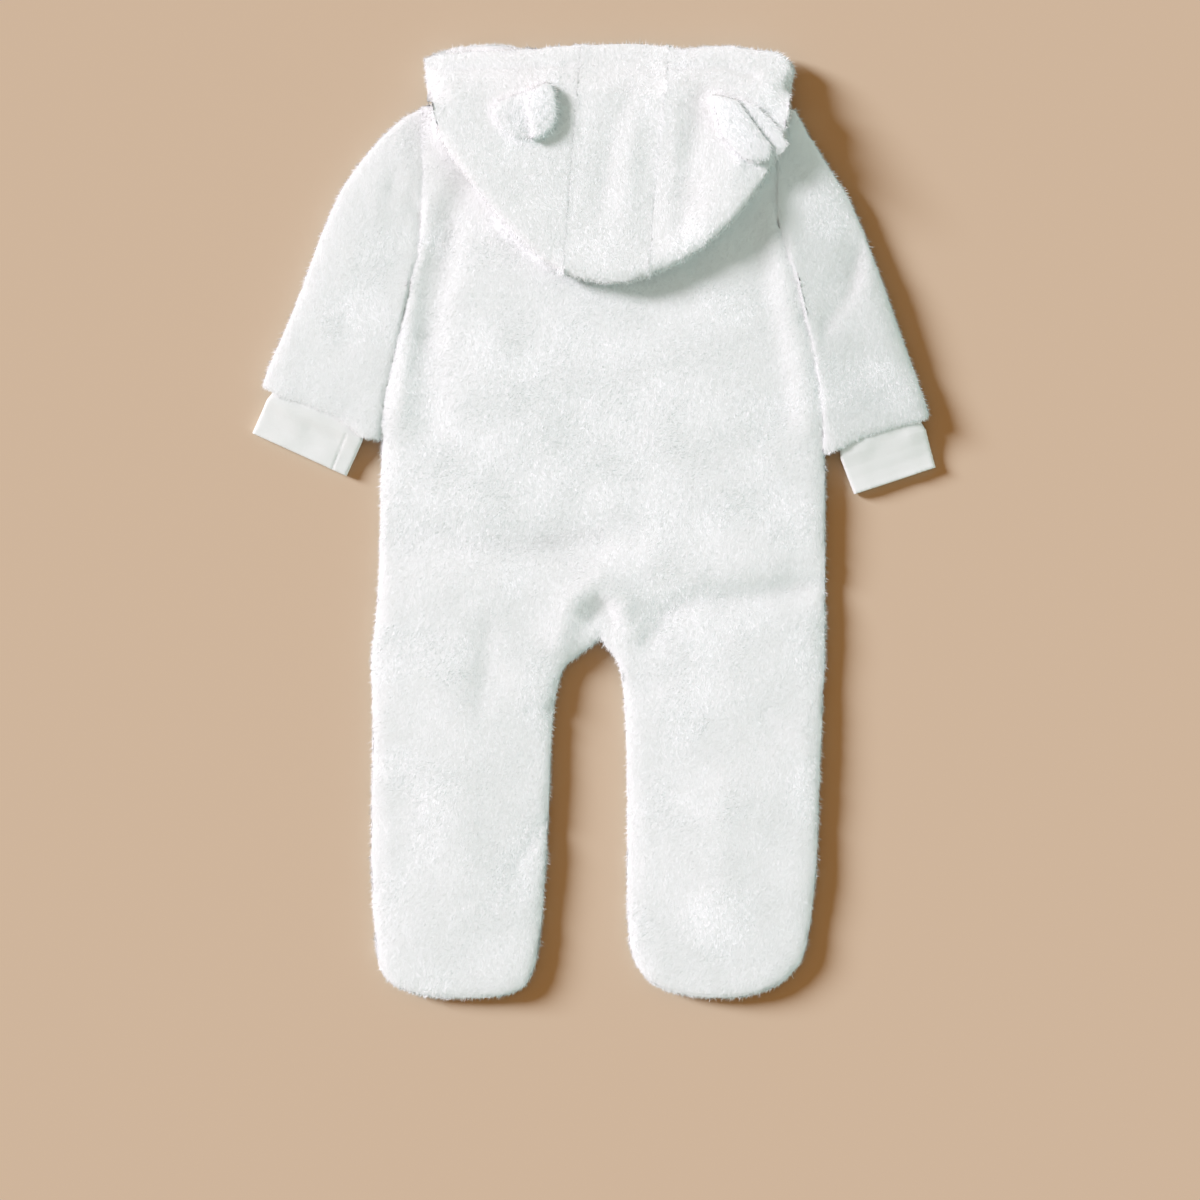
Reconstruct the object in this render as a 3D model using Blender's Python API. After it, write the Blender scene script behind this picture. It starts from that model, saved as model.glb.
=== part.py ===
"""Hooded, footed baby sleepsuit in deep-pile fleece, lying flat on its front with the hood thrown back.

X runs across the garment, Y from the feet to the hood, and Z up from the surface that it lies on.
The origin is the middle of the space it covers, on that surface. Every size below is in millimetres.
Left and right are the wearer's, and the back faces up, so left is at -X.
"""

import math

import bmesh
import bpy
import numpy as np

MM = 0.001
GAP = 0.35  # between pieces that meet at a seam or lie on each other

# One layer of fleece with its pile, and how the two layers of the body lie on each other.
FLEECE = 6.0
SEAM_Z = 6.0  # the side seams are halfway up the body's edge
EDGE_ROUND = {"back": 10.0, "front": 6.5}  # how far in from an edge the cloth rolls over to its seam
EDGE_LIP = 1.1  # cloth left at the seam itself
EDGE_SHARE = 0.3  # the roll takes at most this share of a narrow stretch
BACK_LIFT = 2.4  # the back stands this far off the front in the middle
LIFT_REACH = 70.0  # how far in from the edge it gets there
LIFT_FADE_Y = (175.0, 90.0)  # under the hood it lies down again
FOLD_FADE_Y = (235.0, 190.0)  # and there its folds fade in

# The body's outline, from shoulder to toe: each row gives the sides and the insides of the legs.
CENTRE_X = 4.0
CROTCH_Y = -78.0
TOE_Y = -315.0
SOLE_Y = -296.0  # below it the outline turns faster
SHOULDER_X = (-112.5, 120.0)
BODY_COLUMNS = ("y", "left", "inner_left", "inner_right", "right")
BODY_ROWS = (
    (272.0, -112.5, 4.0, 4.0, 120.0),
    (199.0, -112.5, 4.0, 4.0, 120.5),
    (176.0, -114.5, 4.0, 4.0, 127.0),
    (160.0, -119.5, 4.0, 4.0, 132.5),
    (139.0, -124.0, 4.0, 4.0, 137.5),
    (107.0, -131.5, 4.0, 4.0, 145.0),
    (71.0, -138.4, 4.0, 4.0, 150.0),
    (36.0, -140.0, 4.0, 4.0, 152.0),
    (0.0, -140.4, 4.0, 4.0, 152.4),
    (-46.0, -142.0, 4.0, 4.0, 152.0),
    (-78.0, -144.8, 4.0, 4.0, 152.0),
    (-82.0, -145.4, -0.5, 7.5, 152.0),
    (-86.0, -146.0, -6.0, 10.5, 152.0),
    (-91.0, -146.4, -13.0, 14.6, 151.9),
    (-97.0, -146.8, -19.5, 17.4, 151.7),
    (-104.0, -146.6, -22.6, 18.8, 151.4),
    (-112.0, -146.0, -24.6, 19.8, 151.0),
    (-126.0, -145.2, -27.0, 20.8, 150.5),
    (-152.0, -145.6, -28.6, 22.0, 149.2),
    (-192.0, -146.4, -30.0, 22.4, 148.0),
    (-231.0, -146.2, -32.0, 22.0, 146.4),
    (-258.0, -144.6, -34.3, 22.4, 143.2),
    (-284.0, -143.0, -37.0, 24.4, 139.6),
    (-297.0, -140.4, -40.0, 31.0, 132.0),
    (-307.0, -131.0, -45.5, 41.0, 121.0),
    (-311.5, -120.0, -52.5, 53.0, 110.0),
    (-313.8, -110.0, -61.0, 65.0, 99.0),
    (-315.0, -98.0, -74.0, 76.0, 88.0),
)

# The top edge of the body across the shoulders, and how the front neckline dips below the back's.
SHOULDER_START_Y = 225.0
SHOULDER_COLUMNS = ("x", "back", "front")
SHOULDER_ROWS = (
    (-112.5, 272.0, 272.0),
    (-80.0, 277.0, 277.0),
    (-48.0, 281.0, 281.0),
    (-30.0, 275.0, 268.0),
    (4.0, 271.0, 258.0),
    (38.0, 275.0, 268.0),
    (58.0, 281.0, 281.0),
    (90.0, 277.0, 277.0),
    (120.0, 272.0, 272.0),
)

# Rows of the body's mesh, close together where the outline turns, and its columns. The shoulders' rows
# are shares of the height between the start and the top edge.
SHOULDER_STEPS = {"back": (1.0, 0.97, 0.86, 0.45), "front": (1.0, 0.96, 0.86)}
BODY_STEPS = {
    "back": (225, 210, 196, 184, 173, 162, 150, 138, 125, 112, 99, 86, 73, 60, 47, 34, 21, 8,
             -4, -13, -22, -31, -40, -48, -55, -62, -70, -78, -82, -86, -91, -97, -104, -112,
             -121, -131, -143, -156, -170, -185, -200, -215, -230, -245, -258, -270, -281,
             -290, -297, -303, -307, -311.5, -313.8, -315),
    "front": (225, 196, 173, 150, 112, 73, 34, -4, -40, -60, -60.4, -78, -82, -86, -91, -97, -104, -112,
              -131, -156, -185, -215, -245, -270, -290, -297, -303, -307, -311.5, -313.8, -315),
}
EDGE_STEPS = {"back": (0.0, 0.13, 0.45, 1.0), "front": (0.0, 0.3, 1.0)}  # columns on a roll, in shares of it
HALF_COLUMNS = {"back": 7, "front": 1}  # columns between the rolls, for each half of the body
LEG_BLEND = 60.0  # above the crotch, the leg's inner columns spread out over this height

# Folds in the back: how high each stands or sinks, its half width, and points on its line.
BACK_FOLDS = (
    (-3.4, 8.0, ((-86, 212), (-98, 182), (-108, 149), (-109, 115), (-108, 66))),
    (1.6, 9.0, ((-119, 150), (-123, 110), (-127, 62))),
    (1.8, 13.0, ((125, 150), (136, 105), (141, 60))),
    (-2.6, 9.0, ((100, 196), (112, 150), (122, 105), (126, 70))),
    (2.0, 22.0, ((-70, 95), (-42, 72), (-20, 96))),
    (-1.8, 17.0, ((-10, 66), (2, 40))),
    (1.8, 20.0, ((40, 94), (62, 62))),
    (-2.4, 11.0, ((-138, -14), (-96, -18), (-52, -16), (-22, -20), (2, -12))),
    (1.6, 15.0, ((-112, -44), (-74, -42))),
    (3.6, 8.0, ((-21, -80), (-15, -52), (3, -41), (19, -53), (24, -74))),
    (-2.2, 7.0, ((-2, -68), (6, -60), (11, -70))),
    (3.0, 15.0, ((26, -24), (62, -28), (106, -32))),
    (-3.8, 8.0, ((148, -42), (108, -50), (68, -53), (46, -62), (38, -80))),
    (-2.8, 8.0, ((-69, -73), (-71, -95), (-74, -122))),
    (2.6, 11.0, ((-41, -112), (-38, -116))),
    (-2.2, 7.0, ((-34, -150), (-35, -164))),
    (-2.0, 8.0, ((-34, -198), (-50, -230))),
    (-2.6, 10.0, ((108, -130), (120, -137))),
    (-1.4, 9.0, ((42, -161), (88, -158))),
    (-2.0, 8.0, ((18, -102), (40, -111))),
    (1.5, 20.0, ((-98, -180), (-84, -232))),
    (1.5, 20.0, ((86, -196), (88, -246))),
)

# Sleeves: flat tubes between the armhole and the hem.
ARMPIT_Y = 150.0
SLEEVE_SLIT = 1.0  # the space between a sleeve's two layers
SLEEVE_HEM_SLIT = 6.3  # and at its hem, where the cuff goes in
SLEEVE_HEM_Z = (1.4, 10.0)  # the hem's underside and its top
SLEEVE_HEAD_SHARE = 0.5  # the armhole's edge is this much of the sleeve's height
SLEEVE_LIP = 1.6  # the least cloth over the slit
SLEEVE_TOP = 2 * FLEECE + SLEEVE_SLIT
SLEEVE_CLEAR = 0.7  # from the body's edge
SLEEVE_ROUND = 8.0  # how far in from its edges the sleeve rolls over
SLEEVE_WALL = (4.6, 3.2)  # beside the slit, at the armhole and at the hem
SLIT_ROUND = 1.6
SLEEVE_SPANS = {"head": (0.0, 0.06), "calm": (0.0, 0.1), "opening": (0.86, 0.97), "hem": (0.955, 1.0)}
SLEEVE_STATIONS = (0.0, 0.02, 0.06, 0.14, 0.24, 0.35, 0.46, 0.57, 0.68, 0.78, 0.87, 0.93, 0.97, 1.0)
SLEEVE_COLUMNS = (0.15, 0.3, 0.45, 0.6, 0.75, 0.88)
TUBE_EDGE = (0.13, 0.45)  # columns on a flat tube's edge, in shares of its roll
SLEEVE_OUTER = {
    "left": ((-112.9, 273.0), (-128, 265), (-149, 244), (-168, 217.5), (-180, 191), (-194, 151.5),
             (-205, 125), (-216, 99), (-219.5, 88)),
    "right": ((120.4, 275.0), (132, 272), (141, 257), (153, 237.5), (169, 213), (184, 177),
              (198, 138.5), (215.6, 89), (221, 68.6)),
}
SLEEVE_HEM_INNER_Y = {"left": 56.0, "right": 46.5}  # where the hem meets the body
SLEEVE_FOLDS = {
    "left": (
        (-3.6, 6.0, ((-137, 219), (-126, 213), (-119, 199), (-120, 178))),
        (1.5, 14.0, ((-150, 205), (-158, 170))),
        (-1.6, 9.0, ((-196, 128), (-170, 118))),
    ),
    "right": (
        (-3.2, 7.0, ((154, 128), (168, 150), (175, 178))),
        (1.6, 13.0, ((182, 150), (196, 110))),
        (-1.8, 8.0, ((128, 236), (134, 200))),
    ),
}

# Cuffs: smooth jersey, folded double, from inside the sleeve's hem down to the surface.
CUFF_COLUMNS = (0.2, 0.5, 0.8)
CUFF_WALL = 2.4
CUFF_SLIT = 0.6
CUFF_TOP = 2 * CUFF_WALL + CUFF_SLIT
CUFF_ROUND = 3.0
CUFF_SIDE = 1.6  # the wall beside the slit
CUFF_SLIT_ROUND = 0.8
CUFF_ROOT_Z = 3.9  # the root stands this high, between the sleeve's layers
CUFF_INSERT = 8.0  # and goes this far up the sleeve
CUFF_TUCK = 1.6  # narrower there by this much on each side
CUFF_STATIONS = (  # share of the way from the sleeve's hem to the wrist, below 0 inside it, and height
    (-1.0, CUFF_ROOT_Z), (-0.3, CUFF_ROOT_Z), (0.12, 3.3), (0.38, 1.5), (0.65, 0.3), (0.88, 0.0), (1.0, 0.0),
)
CUFF_ENDS = {  # the corners at the hem, outer and inner, and the corners at the wrist
    "left": ((-214.5, 82.0), (-151.0, 54.5), (-225.5, 57.0), (-163.0, 28.6)),
    "right": ((218.0, 62.5), (161.0, 43.5), (225.5, 34.5), (171.5, 16.6)),
}

# The hood lies over the shoulders as a flat bag: an upper layer from its hem to the crown, where it
# turns under, and a lower layer back to the neck seam.
HOOD_REST_Z = 13.6  # what the lower layer lies at
HOOD_CLOTH = 5.2
HOOD_SLIT = 0.7
HOOD_HEM_CLOTH = 7.0  # the hem is turned and stitched
HOOD_HEM_Z = 6.6  # the hem's underside, on the throat pieces
HOOD_SLOPE = (280.0, 307.0)  # between these heights the upper layer comes down to the hem
HOOD_HEM_SPAN = (290.0, 303.0)  # and here it thickens
HOOD_HEM_ROUND = 5.0
HOOD_HEM_LIP = 3.0
HOOD_SIDES = (((-105.4, 262), (-112.8, 304.4)), ((128, 262), (133.2, 297)))  # free, above the crown
HOOD_SIDE_ROUND = 15.0  # they come down over this reach
HOOD_SIDE_START = (270.0, 286.0)  # starting between these heights
HOOD_PANELS = {  # for each panel its hem, crown edge and neck seam, from left to right
    "hood_side_left": {
        "hem": ((-112.8, 304.4), (-104, 307.4), (-60.7, 309.0), (-44, 310.0), (-26.5, 313.0), (-9.0, 313.6)),
        "crown": ((-105.4, 262), (-100, 246), (-88, 229), (-71, 207), (-47.5, 181), (-32, 168),
                  (-20.9, 161.8)),
        "neck": ((-101, 269.5), (-58, 272), (-36, 270), (-12.2, 267.6)),
    },
    "hood_centre": {
        "hem": ((-8.6, 313.6), (6, 314.4), (24.6, 315.0), (40, 313.8), (49.2, 312.6)),
        "crown": ((-20.4, 161.4), (-8, 159.4), (4, 158), (20, 157), (35.2, 160.6)),
        "neck": ((-11.8, 267.6), (4, 266.8), (19.8, 267.6)),
    },
    "hood_side_right": {
        "hem": ((49.6, 312.6), (59.4, 311.4), (72, 313.3), (90, 313.3), (104, 310.6), (118, 310.0),
                (127.5, 305), (133.2, 297)),
        "crown": ((35.7, 160.6), (52, 165.5), (74, 178.5), (101, 205), (114, 225), (126, 250.5), (128, 262)),
        "neck": ((20.2, 267.6), (44, 270), (68, 272), (123.5, 269.5)),
    },
}
HOOD_COLUMNS = {"hood_side_left": 10, "hood_centre": 7, "hood_side_right": 11}
HOOD_STEPS = (0.0, 0.012, 0.035, 0.08, 0.15, 0.22, 0.3, 0.39, 0.48, 0.58, 0.68, 0.79, 0.9, 1.0)
HOOD_TURN_ANGLES = (60, 30, 0, -30, -60)
HOOD_UNDER_STEPS = (0.0, 0.3, 0.65, 1.0)
HOOD_FOLDS = (
    (-2.8, 7.5, ((24, 280), (14, 256), (10, 242), (6, 212))),
    (1.8, 8.0, ((27, 262), (23, 231), (22, 206))),
    (-3.0, 6.5, ((38, 258), (38, 230), (39, 200), (39, 180))),
    (2.4, 7.0, ((50, 286), (51, 235), (47, 216), (46, 198))),
    (-3.2, 9.5, ((71, 282), (67, 254), (60, 221), (57, 191))),
    (1.6, 15.0, ((82, 217), (84, 212))),
    (1.4, 16.0, ((-36, 225), (-28, 196))),
    (2.4, 12.0, ((70, 304), (96, 303), (120, 297))),
)
HOOD_EAR_CALM = (12.0, 26.0)  # folds fade in over these distances from an ear

# The hood stands fuller along its crown: how much higher its top and its underside are, and how far that
# reaches in from the crown edge and up the sides.
HOOD_FULLNESS = {"top": 6.0, "underside": 2.6}
HOOD_FULL_REACH = (4.0, 46.0)
HOOD_FULL_SPAN = (222.0, 262.0)

# The part of the hood that goes round the throat lies on the surface beyond the shoulders.
THROAT_COLUMNS = ("x", "top")
THROAT_ROWS = (
    (-110.5, 299.0), (-101.0, 307.6), (-84.0, 312.4), (-62.0, 314.2), (-46.0, 310.0), (-20.0, 307.0),
    (4.0, 306.0), (50.0, 306.0), (100.0, 304.0), (126.0, 294.0),
)
THROAT_CLEAR = 0.8  # from the neckline and the shoulders
THROAT_OVER_SLEEVES = (  # where its lower edge stays above a sleeve: full, none, and how high
    (-108.0, -104.0, 275.2),
    (116.0, 110.0, 277.2),
)
THROAT_ROUND = 5.0
THROAT_LIP = 1.6
THROAT_STEPS = (0.0, 0.3, 0.7, 0.86, 0.96, 1.0)
THROAT_SHARES = (0.0, 0.02, 0.06) + tuple(0.06 + 0.94 * k / 12 for k in range(1, 13))
LINE_POINTS = 80

# Ears: a cup folded lengthwise. Each edge runs from the seam to the tip, and the flap is turned over
# on the side that is named, by shares of the ear's width.
EAR_WALL = 5.0
EAR_CLEAR = 0.5  # from the hood under it
EAR_FOLD = 1.0  # the space inside the fold
EAR_THIN = 0.45  # what is left of the wall at the seam and the tip
EAR_FLAT_STEPS = (0.0, 0.25, 0.5, 0.75, 1.0)
EAR_TURN_ANGLES = (-54, -18, 18, 54)
EAR_FLAP_STEPS = (0.0, 0.5, 1.0)
EAR_STATIONS = (0.0, 0.12, 0.3, 0.5, 0.68, 0.82, 0.92, 1.0)
EARS = {
    "ear_left": {
        "edges": (
            ((-64.5, 275), (-67, 269), (-64, 260), (-57, 252.5), (-50, 249.3)),
            ((-29.5, 288.5), (-25.5, 279), (-24.4, 268), (-27.5, 257), (-34, 251), (-40, 248.8)),
        ),
        "flap": (0.2, 0.4, 0.46, 0.46, 0.42, 0.34, 0.27, 0.2),
        "side": 1,
    },
    "ear_right": {
        "edges": (
            ((77.5, 280), (78.5, 275), (81.2, 265.6), (84.5, 252.4), (90.4, 244.5), (99, 236),
             (106.3, 233.5)),
            ((106.3, 274), (115.6, 265), (125.3, 254.4), (128.7, 247.3), (125, 240.8), (117, 236)),
        ),
        "flap": (0.6, 0.62, 0.64, 0.66, 0.7, 0.74, 0.78, 0.8),
        "side": -1,
    },
}

# The front fastens with poppers on a band between its halves.
PLACKET_HALF = 10.0
PLACKET_END_Y = -60.0
PLACKET_TOP_Y = 257.6
PLACKET_Z = (1.8, 6.0)
POPPERS = 7
POPPER_RADIUS = 5.5
POPPER_FACE_RADIUS = 4.9
POPPER_SIDES = 16
POPPER_THICK = 1.45
POPPER_Y = (244.0, -46.0)

FLEECE_COLOUR = (0.86, 0.87, 0.86, 1.0)
JERSEY_COLOUR = (0.83, 0.85, 0.84, 1.0)
CAP_COLOUR = (0.78, 0.79, 0.78, 1.0)


def make_material(name, colour, roughness):
    material = bpy.data.materials.new(name)
    material.use_nodes = True
    shader = material.node_tree.nodes["Principled BSDF"]
    shader.inputs["Base Color"].default_value = colour
    shader.inputs["Roughness"].default_value = roughness
    return material


def slopes(xs, ys):
    """Slopes at the points of a curve, without overshoot between them."""
    steps = np.diff(ys) / np.diff(xs)
    before, after = steps[:-1], steps[1:]
    inner = np.where(before * after > 0, 2 * before * after / (before + after + 1e-12), 0)
    return np.concatenate([[steps[0]], inner, [steps[-1]]])


def smooth(xs, ys, x):
    """A smooth curve through a table's points, read at x."""
    xs, ys = np.array(xs, float), np.array(ys, float)
    if xs[0] > xs[-1]:
        xs, ys = xs[::-1], ys[::-1]
    x = np.clip(x, xs[0], xs[-1])
    i = np.clip(np.searchsorted(xs, x) - 1, 0, len(xs) - 2)
    run, m = xs[i + 1] - xs[i], slopes(xs, ys)
    t = (x - xs[i]) / run
    return (
        (2 * t**3 - 3 * t**2 + 1) * ys[i]
        + (t**3 - 2 * t**2 + t) * run * m[i]
        + (3 * t**2 - 2 * t**3) * ys[i + 1]
        + (t**3 - t**2) * run * m[i + 1]
    )


def column(rows, names, name):
    return [row[names.index(name)] for row in rows]


def body_edge(name, y):
    ys, xs = (column(BODY_ROWS, BODY_COLUMNS, key) for key in ("y", name))
    return smooth(ys, xs, y)


def shoulder(name, x):
    xs, ys = (column(SHOULDER_ROWS, SHOULDER_COLUMNS, key) for key in ("x", name))
    return smooth(xs, ys, x)


def along(points, shares):
    """Points at the given shares of the length of a smooth line through a few points."""
    points = np.array(points, float)
    far = np.concatenate([[0], np.cumsum(np.linalg.norm(np.diff(points, axis=0), axis=1))])
    at = np.asarray(shares) * far[-1]
    return np.stack([smooth(far, points[:, k], at) for k in (0, 1)], axis=1)


def distance(x, y, line):
    """How far a point is from a line through some points."""
    line = np.asarray(line, float)
    start, run = line[:-1], np.diff(line, axis=0)
    to = np.array([x, y]) - start
    share = np.clip((to * run).sum(1) / np.maximum((run * run).sum(1), 1e-9), 0, 1)
    return float(np.linalg.norm(to - share[:, None] * run, axis=1).min())


def relief(folds, x, y):
    """The height that the folds add at a point."""
    return sum(height * math.exp(-((distance(x, y, line) / width) ** 2)) for height, width, line in folds)


def ease(value, start, end):
    t = min(max((value - start) / (end - start), 0.0), 1.0)
    return t * t * (3 - 2 * t)


def rolled(inset, reach, full, lip=EDGE_LIP):
    """The height of cloth at some distance in from an edge that it rolls over."""
    t = 1 - min(max(inset / reach, 0.0), 1.0)
    return lip + (full - lip) * math.sqrt(1 - t * t)


def body_outline(top):
    """The free edges of the body, as lines: its sides with the legs' insides, and its top edge."""
    ys = np.concatenate([np.linspace(BODY_ROWS[0][0], SOLE_Y, 120), np.linspace(SOLE_Y - 1, TOE_Y, 22)])
    left = [(body_edge("left", y), y) for y in ys]
    right = [(body_edge("right", y), y) for y in ys]
    ys = ys[ys < CROTCH_Y]
    crotch = [(CENTRE_X, CROTCH_Y)]
    inner_left = crotch + [(body_edge("inner_left", y), y) for y in ys]
    inner_right = crotch + [(body_edge("inner_right", y), y) for y in ys]
    across = [(x, shoulder(top, x)) for x in np.linspace(*SHOULDER_X, 40)]
    return [left + inner_left[::-1], inner_right + right[::-1], across]


def spread(layer, outer, inner, leg_share):
    """The x of each column between an outer edge and the centre, or a leg's inner edge."""
    steps, middle = EDGE_STEPS[layer], HALF_COLUMNS[layer]
    sign = 1 if inner > outer else -1
    roll = min(EDGE_ROUND[layer], abs(inner - outer) * EDGE_SHARE)
    outside = [outer + sign * roll * s for s in steps]
    inside = [inner - sign * roll * s for s in steps[::-1]]
    between = [outside[-1] + (inside[0] - outside[-1]) * k / (middle + 1) for k in range(1, middle + 1)]
    count = middle + len(steps)
    even = [outside[-1] + (inner - outside[-1]) * k / count for k in range(1, count + 1)]
    return outside + [e + (f - e) * leg_share for e, f in zip(even, between + inside)]


def half_row(layer, side, y, centre):
    inner = float(body_edge("inner_" + side, y)) if y < CROTCH_Y else CENTRE_X
    if centre:
        inner = centre(y, inner)
    return spread(layer, float(body_edge(side, y)), inner, 1 - ease(y, CROTCH_Y, CROTCH_Y + LEG_BLEND))


def half_plan(side, layer, centre=None):
    """Rows of plan points for one half of a layer. centre gives the inner edge above the crotch."""
    rows = []
    for share in SHOULDER_STEPS[layer]:
        rows.append([(x, SHOULDER_START_Y + (shoulder(layer, x) - SHOULDER_START_Y) * share)
                     for x in half_row(layer, side, SHOULDER_START_Y, centre)])
    for y in BODY_STEPS[layer]:
        rows.append([(x, float(y)) for x in half_row(layer, side, float(y), centre)])
    return rows


def add_grid(mesh, rows):
    """A sheet of quads through rows of plan points."""
    points = [[mesh.verts.new((x, y, 0)) for x, y in row] for row in rows]
    for a, b in zip(points, points[1:]):
        for k in range(len(a) - 1):
            mesh.faces.new((a[k], a[k + 1], b[k + 1], b[k]))


def finish(name, mesh, material, smooth_angle=50.0):
    """An object from a mesh in millimetres, with its faces pointing out."""
    bmesh.ops.recalc_face_normals(mesh, faces=mesh.faces)
    if mesh.calc_volume(signed=True) < 0:
        bmesh.ops.reverse_faces(mesh, faces=mesh.faces)
    bmesh.ops.scale(mesh, vec=(MM, MM, MM), verts=mesh.verts)
    data = bpy.data.meshes.new(name)
    mesh.to_mesh(data)
    mesh.free()
    data.shade_smooth()
    data.set_sharp_from_angle(angle=math.radians(smooth_angle))
    data.materials.append(material)
    piece = bpy.data.objects.new(name, data)
    bpy.data.collections["sleepsuit"].objects.link(piece)
    return piece


def slab(name, grids, low, high, material):
    """A closed layer of cloth over a plan of one or more grids, between two heights."""
    mesh = bmesh.new()
    for rows in grids:
        add_grid(mesh, rows)
    bmesh.ops.remove_doubles(mesh, verts=mesh.verts, dist=0.001)
    upper = list(mesh.verts)
    rim = [e for e in mesh.edges if e.is_boundary]
    faces = list(mesh.faces)
    lower = {v: mesh.verts.new((v.co.x, v.co.y, low(v.co.x, v.co.y))) for v in upper}
    for v in upper:
        v.co.z = high(v.co.x, v.co.y)
    for face in faces:
        mesh.faces.new([lower[v] for v in reversed(face.verts)])
    for edge in rim:
        a, b = edge.verts
        mesh.faces.new((a, b, lower[b], lower[a]))
    return finish(name, mesh, material)


def tube(name, outside, inside, material):
    """A closed tube of cloth: rings of points outside and in, joined at both ends."""
    mesh = bmesh.new()
    shells = [[[mesh.verts.new(p) for p in ring] for ring in rings] for rings in (outside, inside)]
    for rings in shells:
        for a, b in zip(rings, rings[1:]):
            for k in range(len(a)):
                n = (k + 1) % len(a)
                mesh.faces.new((a[k], a[n], b[n], b[k]))
    for end in (0, -1):
        a, b = shells[0][end], shells[1][end]
        for k in range(len(a)):
            n = (k + 1) % len(a)
            mesh.faces.new((a[k], a[n], b[n], b[k]))
    return finish(name, mesh, material)


OUTLINE = {top: body_outline(top) for top in ("back", "front")}
EAR_LINES = {name: [np.mean([edge[end] for edge in ear["edges"]], axis=0) for end in (0, -1)]
             for name, ear in EARS.items()}  # the middle of each ear, from its seam to its tip


def edge_inset(top, x, y):
    return min(distance(x, y, line) for line in OUTLINE[top])


def back_low(x, y):
    return SEAM_Z + GAP + BACK_LIFT * ease(edge_inset("back", x, y), 0, LIFT_REACH) * ease(y, *LIFT_FADE_Y)


def back_high(x, y):
    inset, reach = edge_inset("back", x, y), EDGE_ROUND["back"]
    calm = ease(inset, 0, reach) * ease(y, *FOLD_FADE_Y)
    return back_low(x, y) + rolled(inset, reach, FLEECE + relief(BACK_FOLDS, x, y) * calm)


def front_low(x, y):
    return SEAM_Z - rolled(edge_inset("front", x, y), EDGE_ROUND["front"], SEAM_Z)


def flat_top(x, y):
    return SEAM_Z


def build_body(fleece):
    slab("back", [half_plan(side, "back") for side in ("left", "right")], back_low, back_high, fleece)
    for side, sign in (("left", -1), ("right", 1)):
        def beside_band(y, inner, sign=sign):
            if y >= PLACKET_END_Y:
                return CENTRE_X + sign * (PLACKET_HALF + GAP)
            if y > CROTCH_Y - 0.5:
                return CENTRE_X + sign * GAP / 2
            return inner

        slab("front_" + side, [half_plan(side, "front", beside_band)], front_low, flat_top, fleece)


def coons(top, bottom, start, end, t, u):
    """A point inside four edges: top and bottom run along u, start and end along t."""
    corner = (1 - t) * ((1 - u) * top[0] + u * top[1]) + t * ((1 - u) * bottom[0] + u * bottom[1])
    return (1 - t) * top[2](u) + t * bottom[2](u) + (1 - u) * start(t) + u * end(t) - corner


def sleeve_plan(side):
    """A function that places a point of the sleeve from shares along it and across it."""
    sign = -1 if side == "left" else 1
    body_ys = np.linspace(SLEEVE_OUTER[side][0][1], SLEEVE_HEM_INNER_Y[side], 40)
    beside = [(float(body_edge(side, y)) + sign * SLEEVE_CLEAR, y) for y in body_ys]
    armhole = [p for p in beside if p[1] >= ARMPIT_Y]
    underarm = [armhole[-1]] + [p for p in beside if p[1] < ARMPIT_Y]
    outer = SLEEVE_OUTER[side]
    hem = (np.array(outer[-1]), np.array(underarm[-1]))
    top = (np.array(armhole[0]), np.array(armhole[-1]), lambda u: along(armhole, [u])[0])
    bottom = (hem[0], hem[1], lambda u: hem[0] + (hem[1] - hem[0]) * u)
    start = lambda t: along([armhole[0]] + list(outer[1:]), [t])[0]
    end = lambda t: along(underarm, [t])[0]
    return lambda t, u: coons(top, bottom, start, end, t, u)


def ring_shares(columns, width, round_reach):
    """Columns of a flat tube's ring: shares across it, with the side it is on. Over, then back under."""
    edge = [round_reach / width * s for s in TUBE_EDGE]
    over = [0.0] + edge + list(columns) + [1 - s for s in edge[::-1]] + [1.0]
    under = [1 - s for s in edge] + list(columns[::-1]) + edge[::-1]
    return [(s, 1) for s in over] + [(s, -1) for s in under]


def flat_ring(columns, place, width, round_reach, low, high, relief_at=None):
    """A ring of a flat tube: stadium-shaped, between two heights."""
    ring = []
    for share, side in ring_shares(columns, width, round_reach):
        x, y = place(share)
        bulge = rolled(min(share, 1 - share) * width, round_reach, 1.0, 0.0)
        z = (low + high) / 2 + side * (high - low) / 2 * bulge
        if side > 0 and relief_at:
            z += relief_at(x, y) * bulge
        ring.append((x, y, z))
    return ring


def between(place, inset):
    """The same line of places with a share taken off at both ends."""
    return lambda u: place(inset + (1 - 2 * inset) * u)


def build_sleeve(side, fleece):
    place, middle = sleeve_plan(side), SLEEVE_TOP / 2
    outside, inside = [], []
    for t in SLEEVE_STATIONS:
        head, calm, opening, hem = (ease(t, *span) for span in SLEEVE_SPANS.values())
        slit = SLEEVE_SLIT + (SLEEVE_HEM_SLIT - SLEEVE_SLIT) * opening
        head_share = SLEEVE_HEAD_SHARE + (1 - SLEEVE_HEAD_SHARE) * head
        top = middle + max(middle * head_share, slit / 2 + SLEEVE_LIP)
        low, high = SLEEVE_HEM_Z[0] * hem, top + min(SLEEVE_HEM_Z[1] + SLEEVE_LIP - top, 0) * hem
        across = lambda u: place(t, u)
        width = float(np.linalg.norm(across(1) - across(0)))
        fold_at = lambda x, y: relief(SLEEVE_FOLDS[side], x, y) * calm * (1 - opening)
        outside.append(flat_ring(SLEEVE_COLUMNS, across, width, SLEEVE_ROUND, low, high, fold_at))
        wall = SLEEVE_WALL[0] + (SLEEVE_WALL[1] - SLEEVE_WALL[0]) * opening
        slit_across = between(across, wall / width)
        slit_z = (middle - slit / 2, middle + slit / 2)
        inside.append(flat_ring(SLEEVE_COLUMNS, slit_across, width, SLIT_ROUND, *slit_z))
    tube("sleeve_" + side, outside, inside, fleece)


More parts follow.
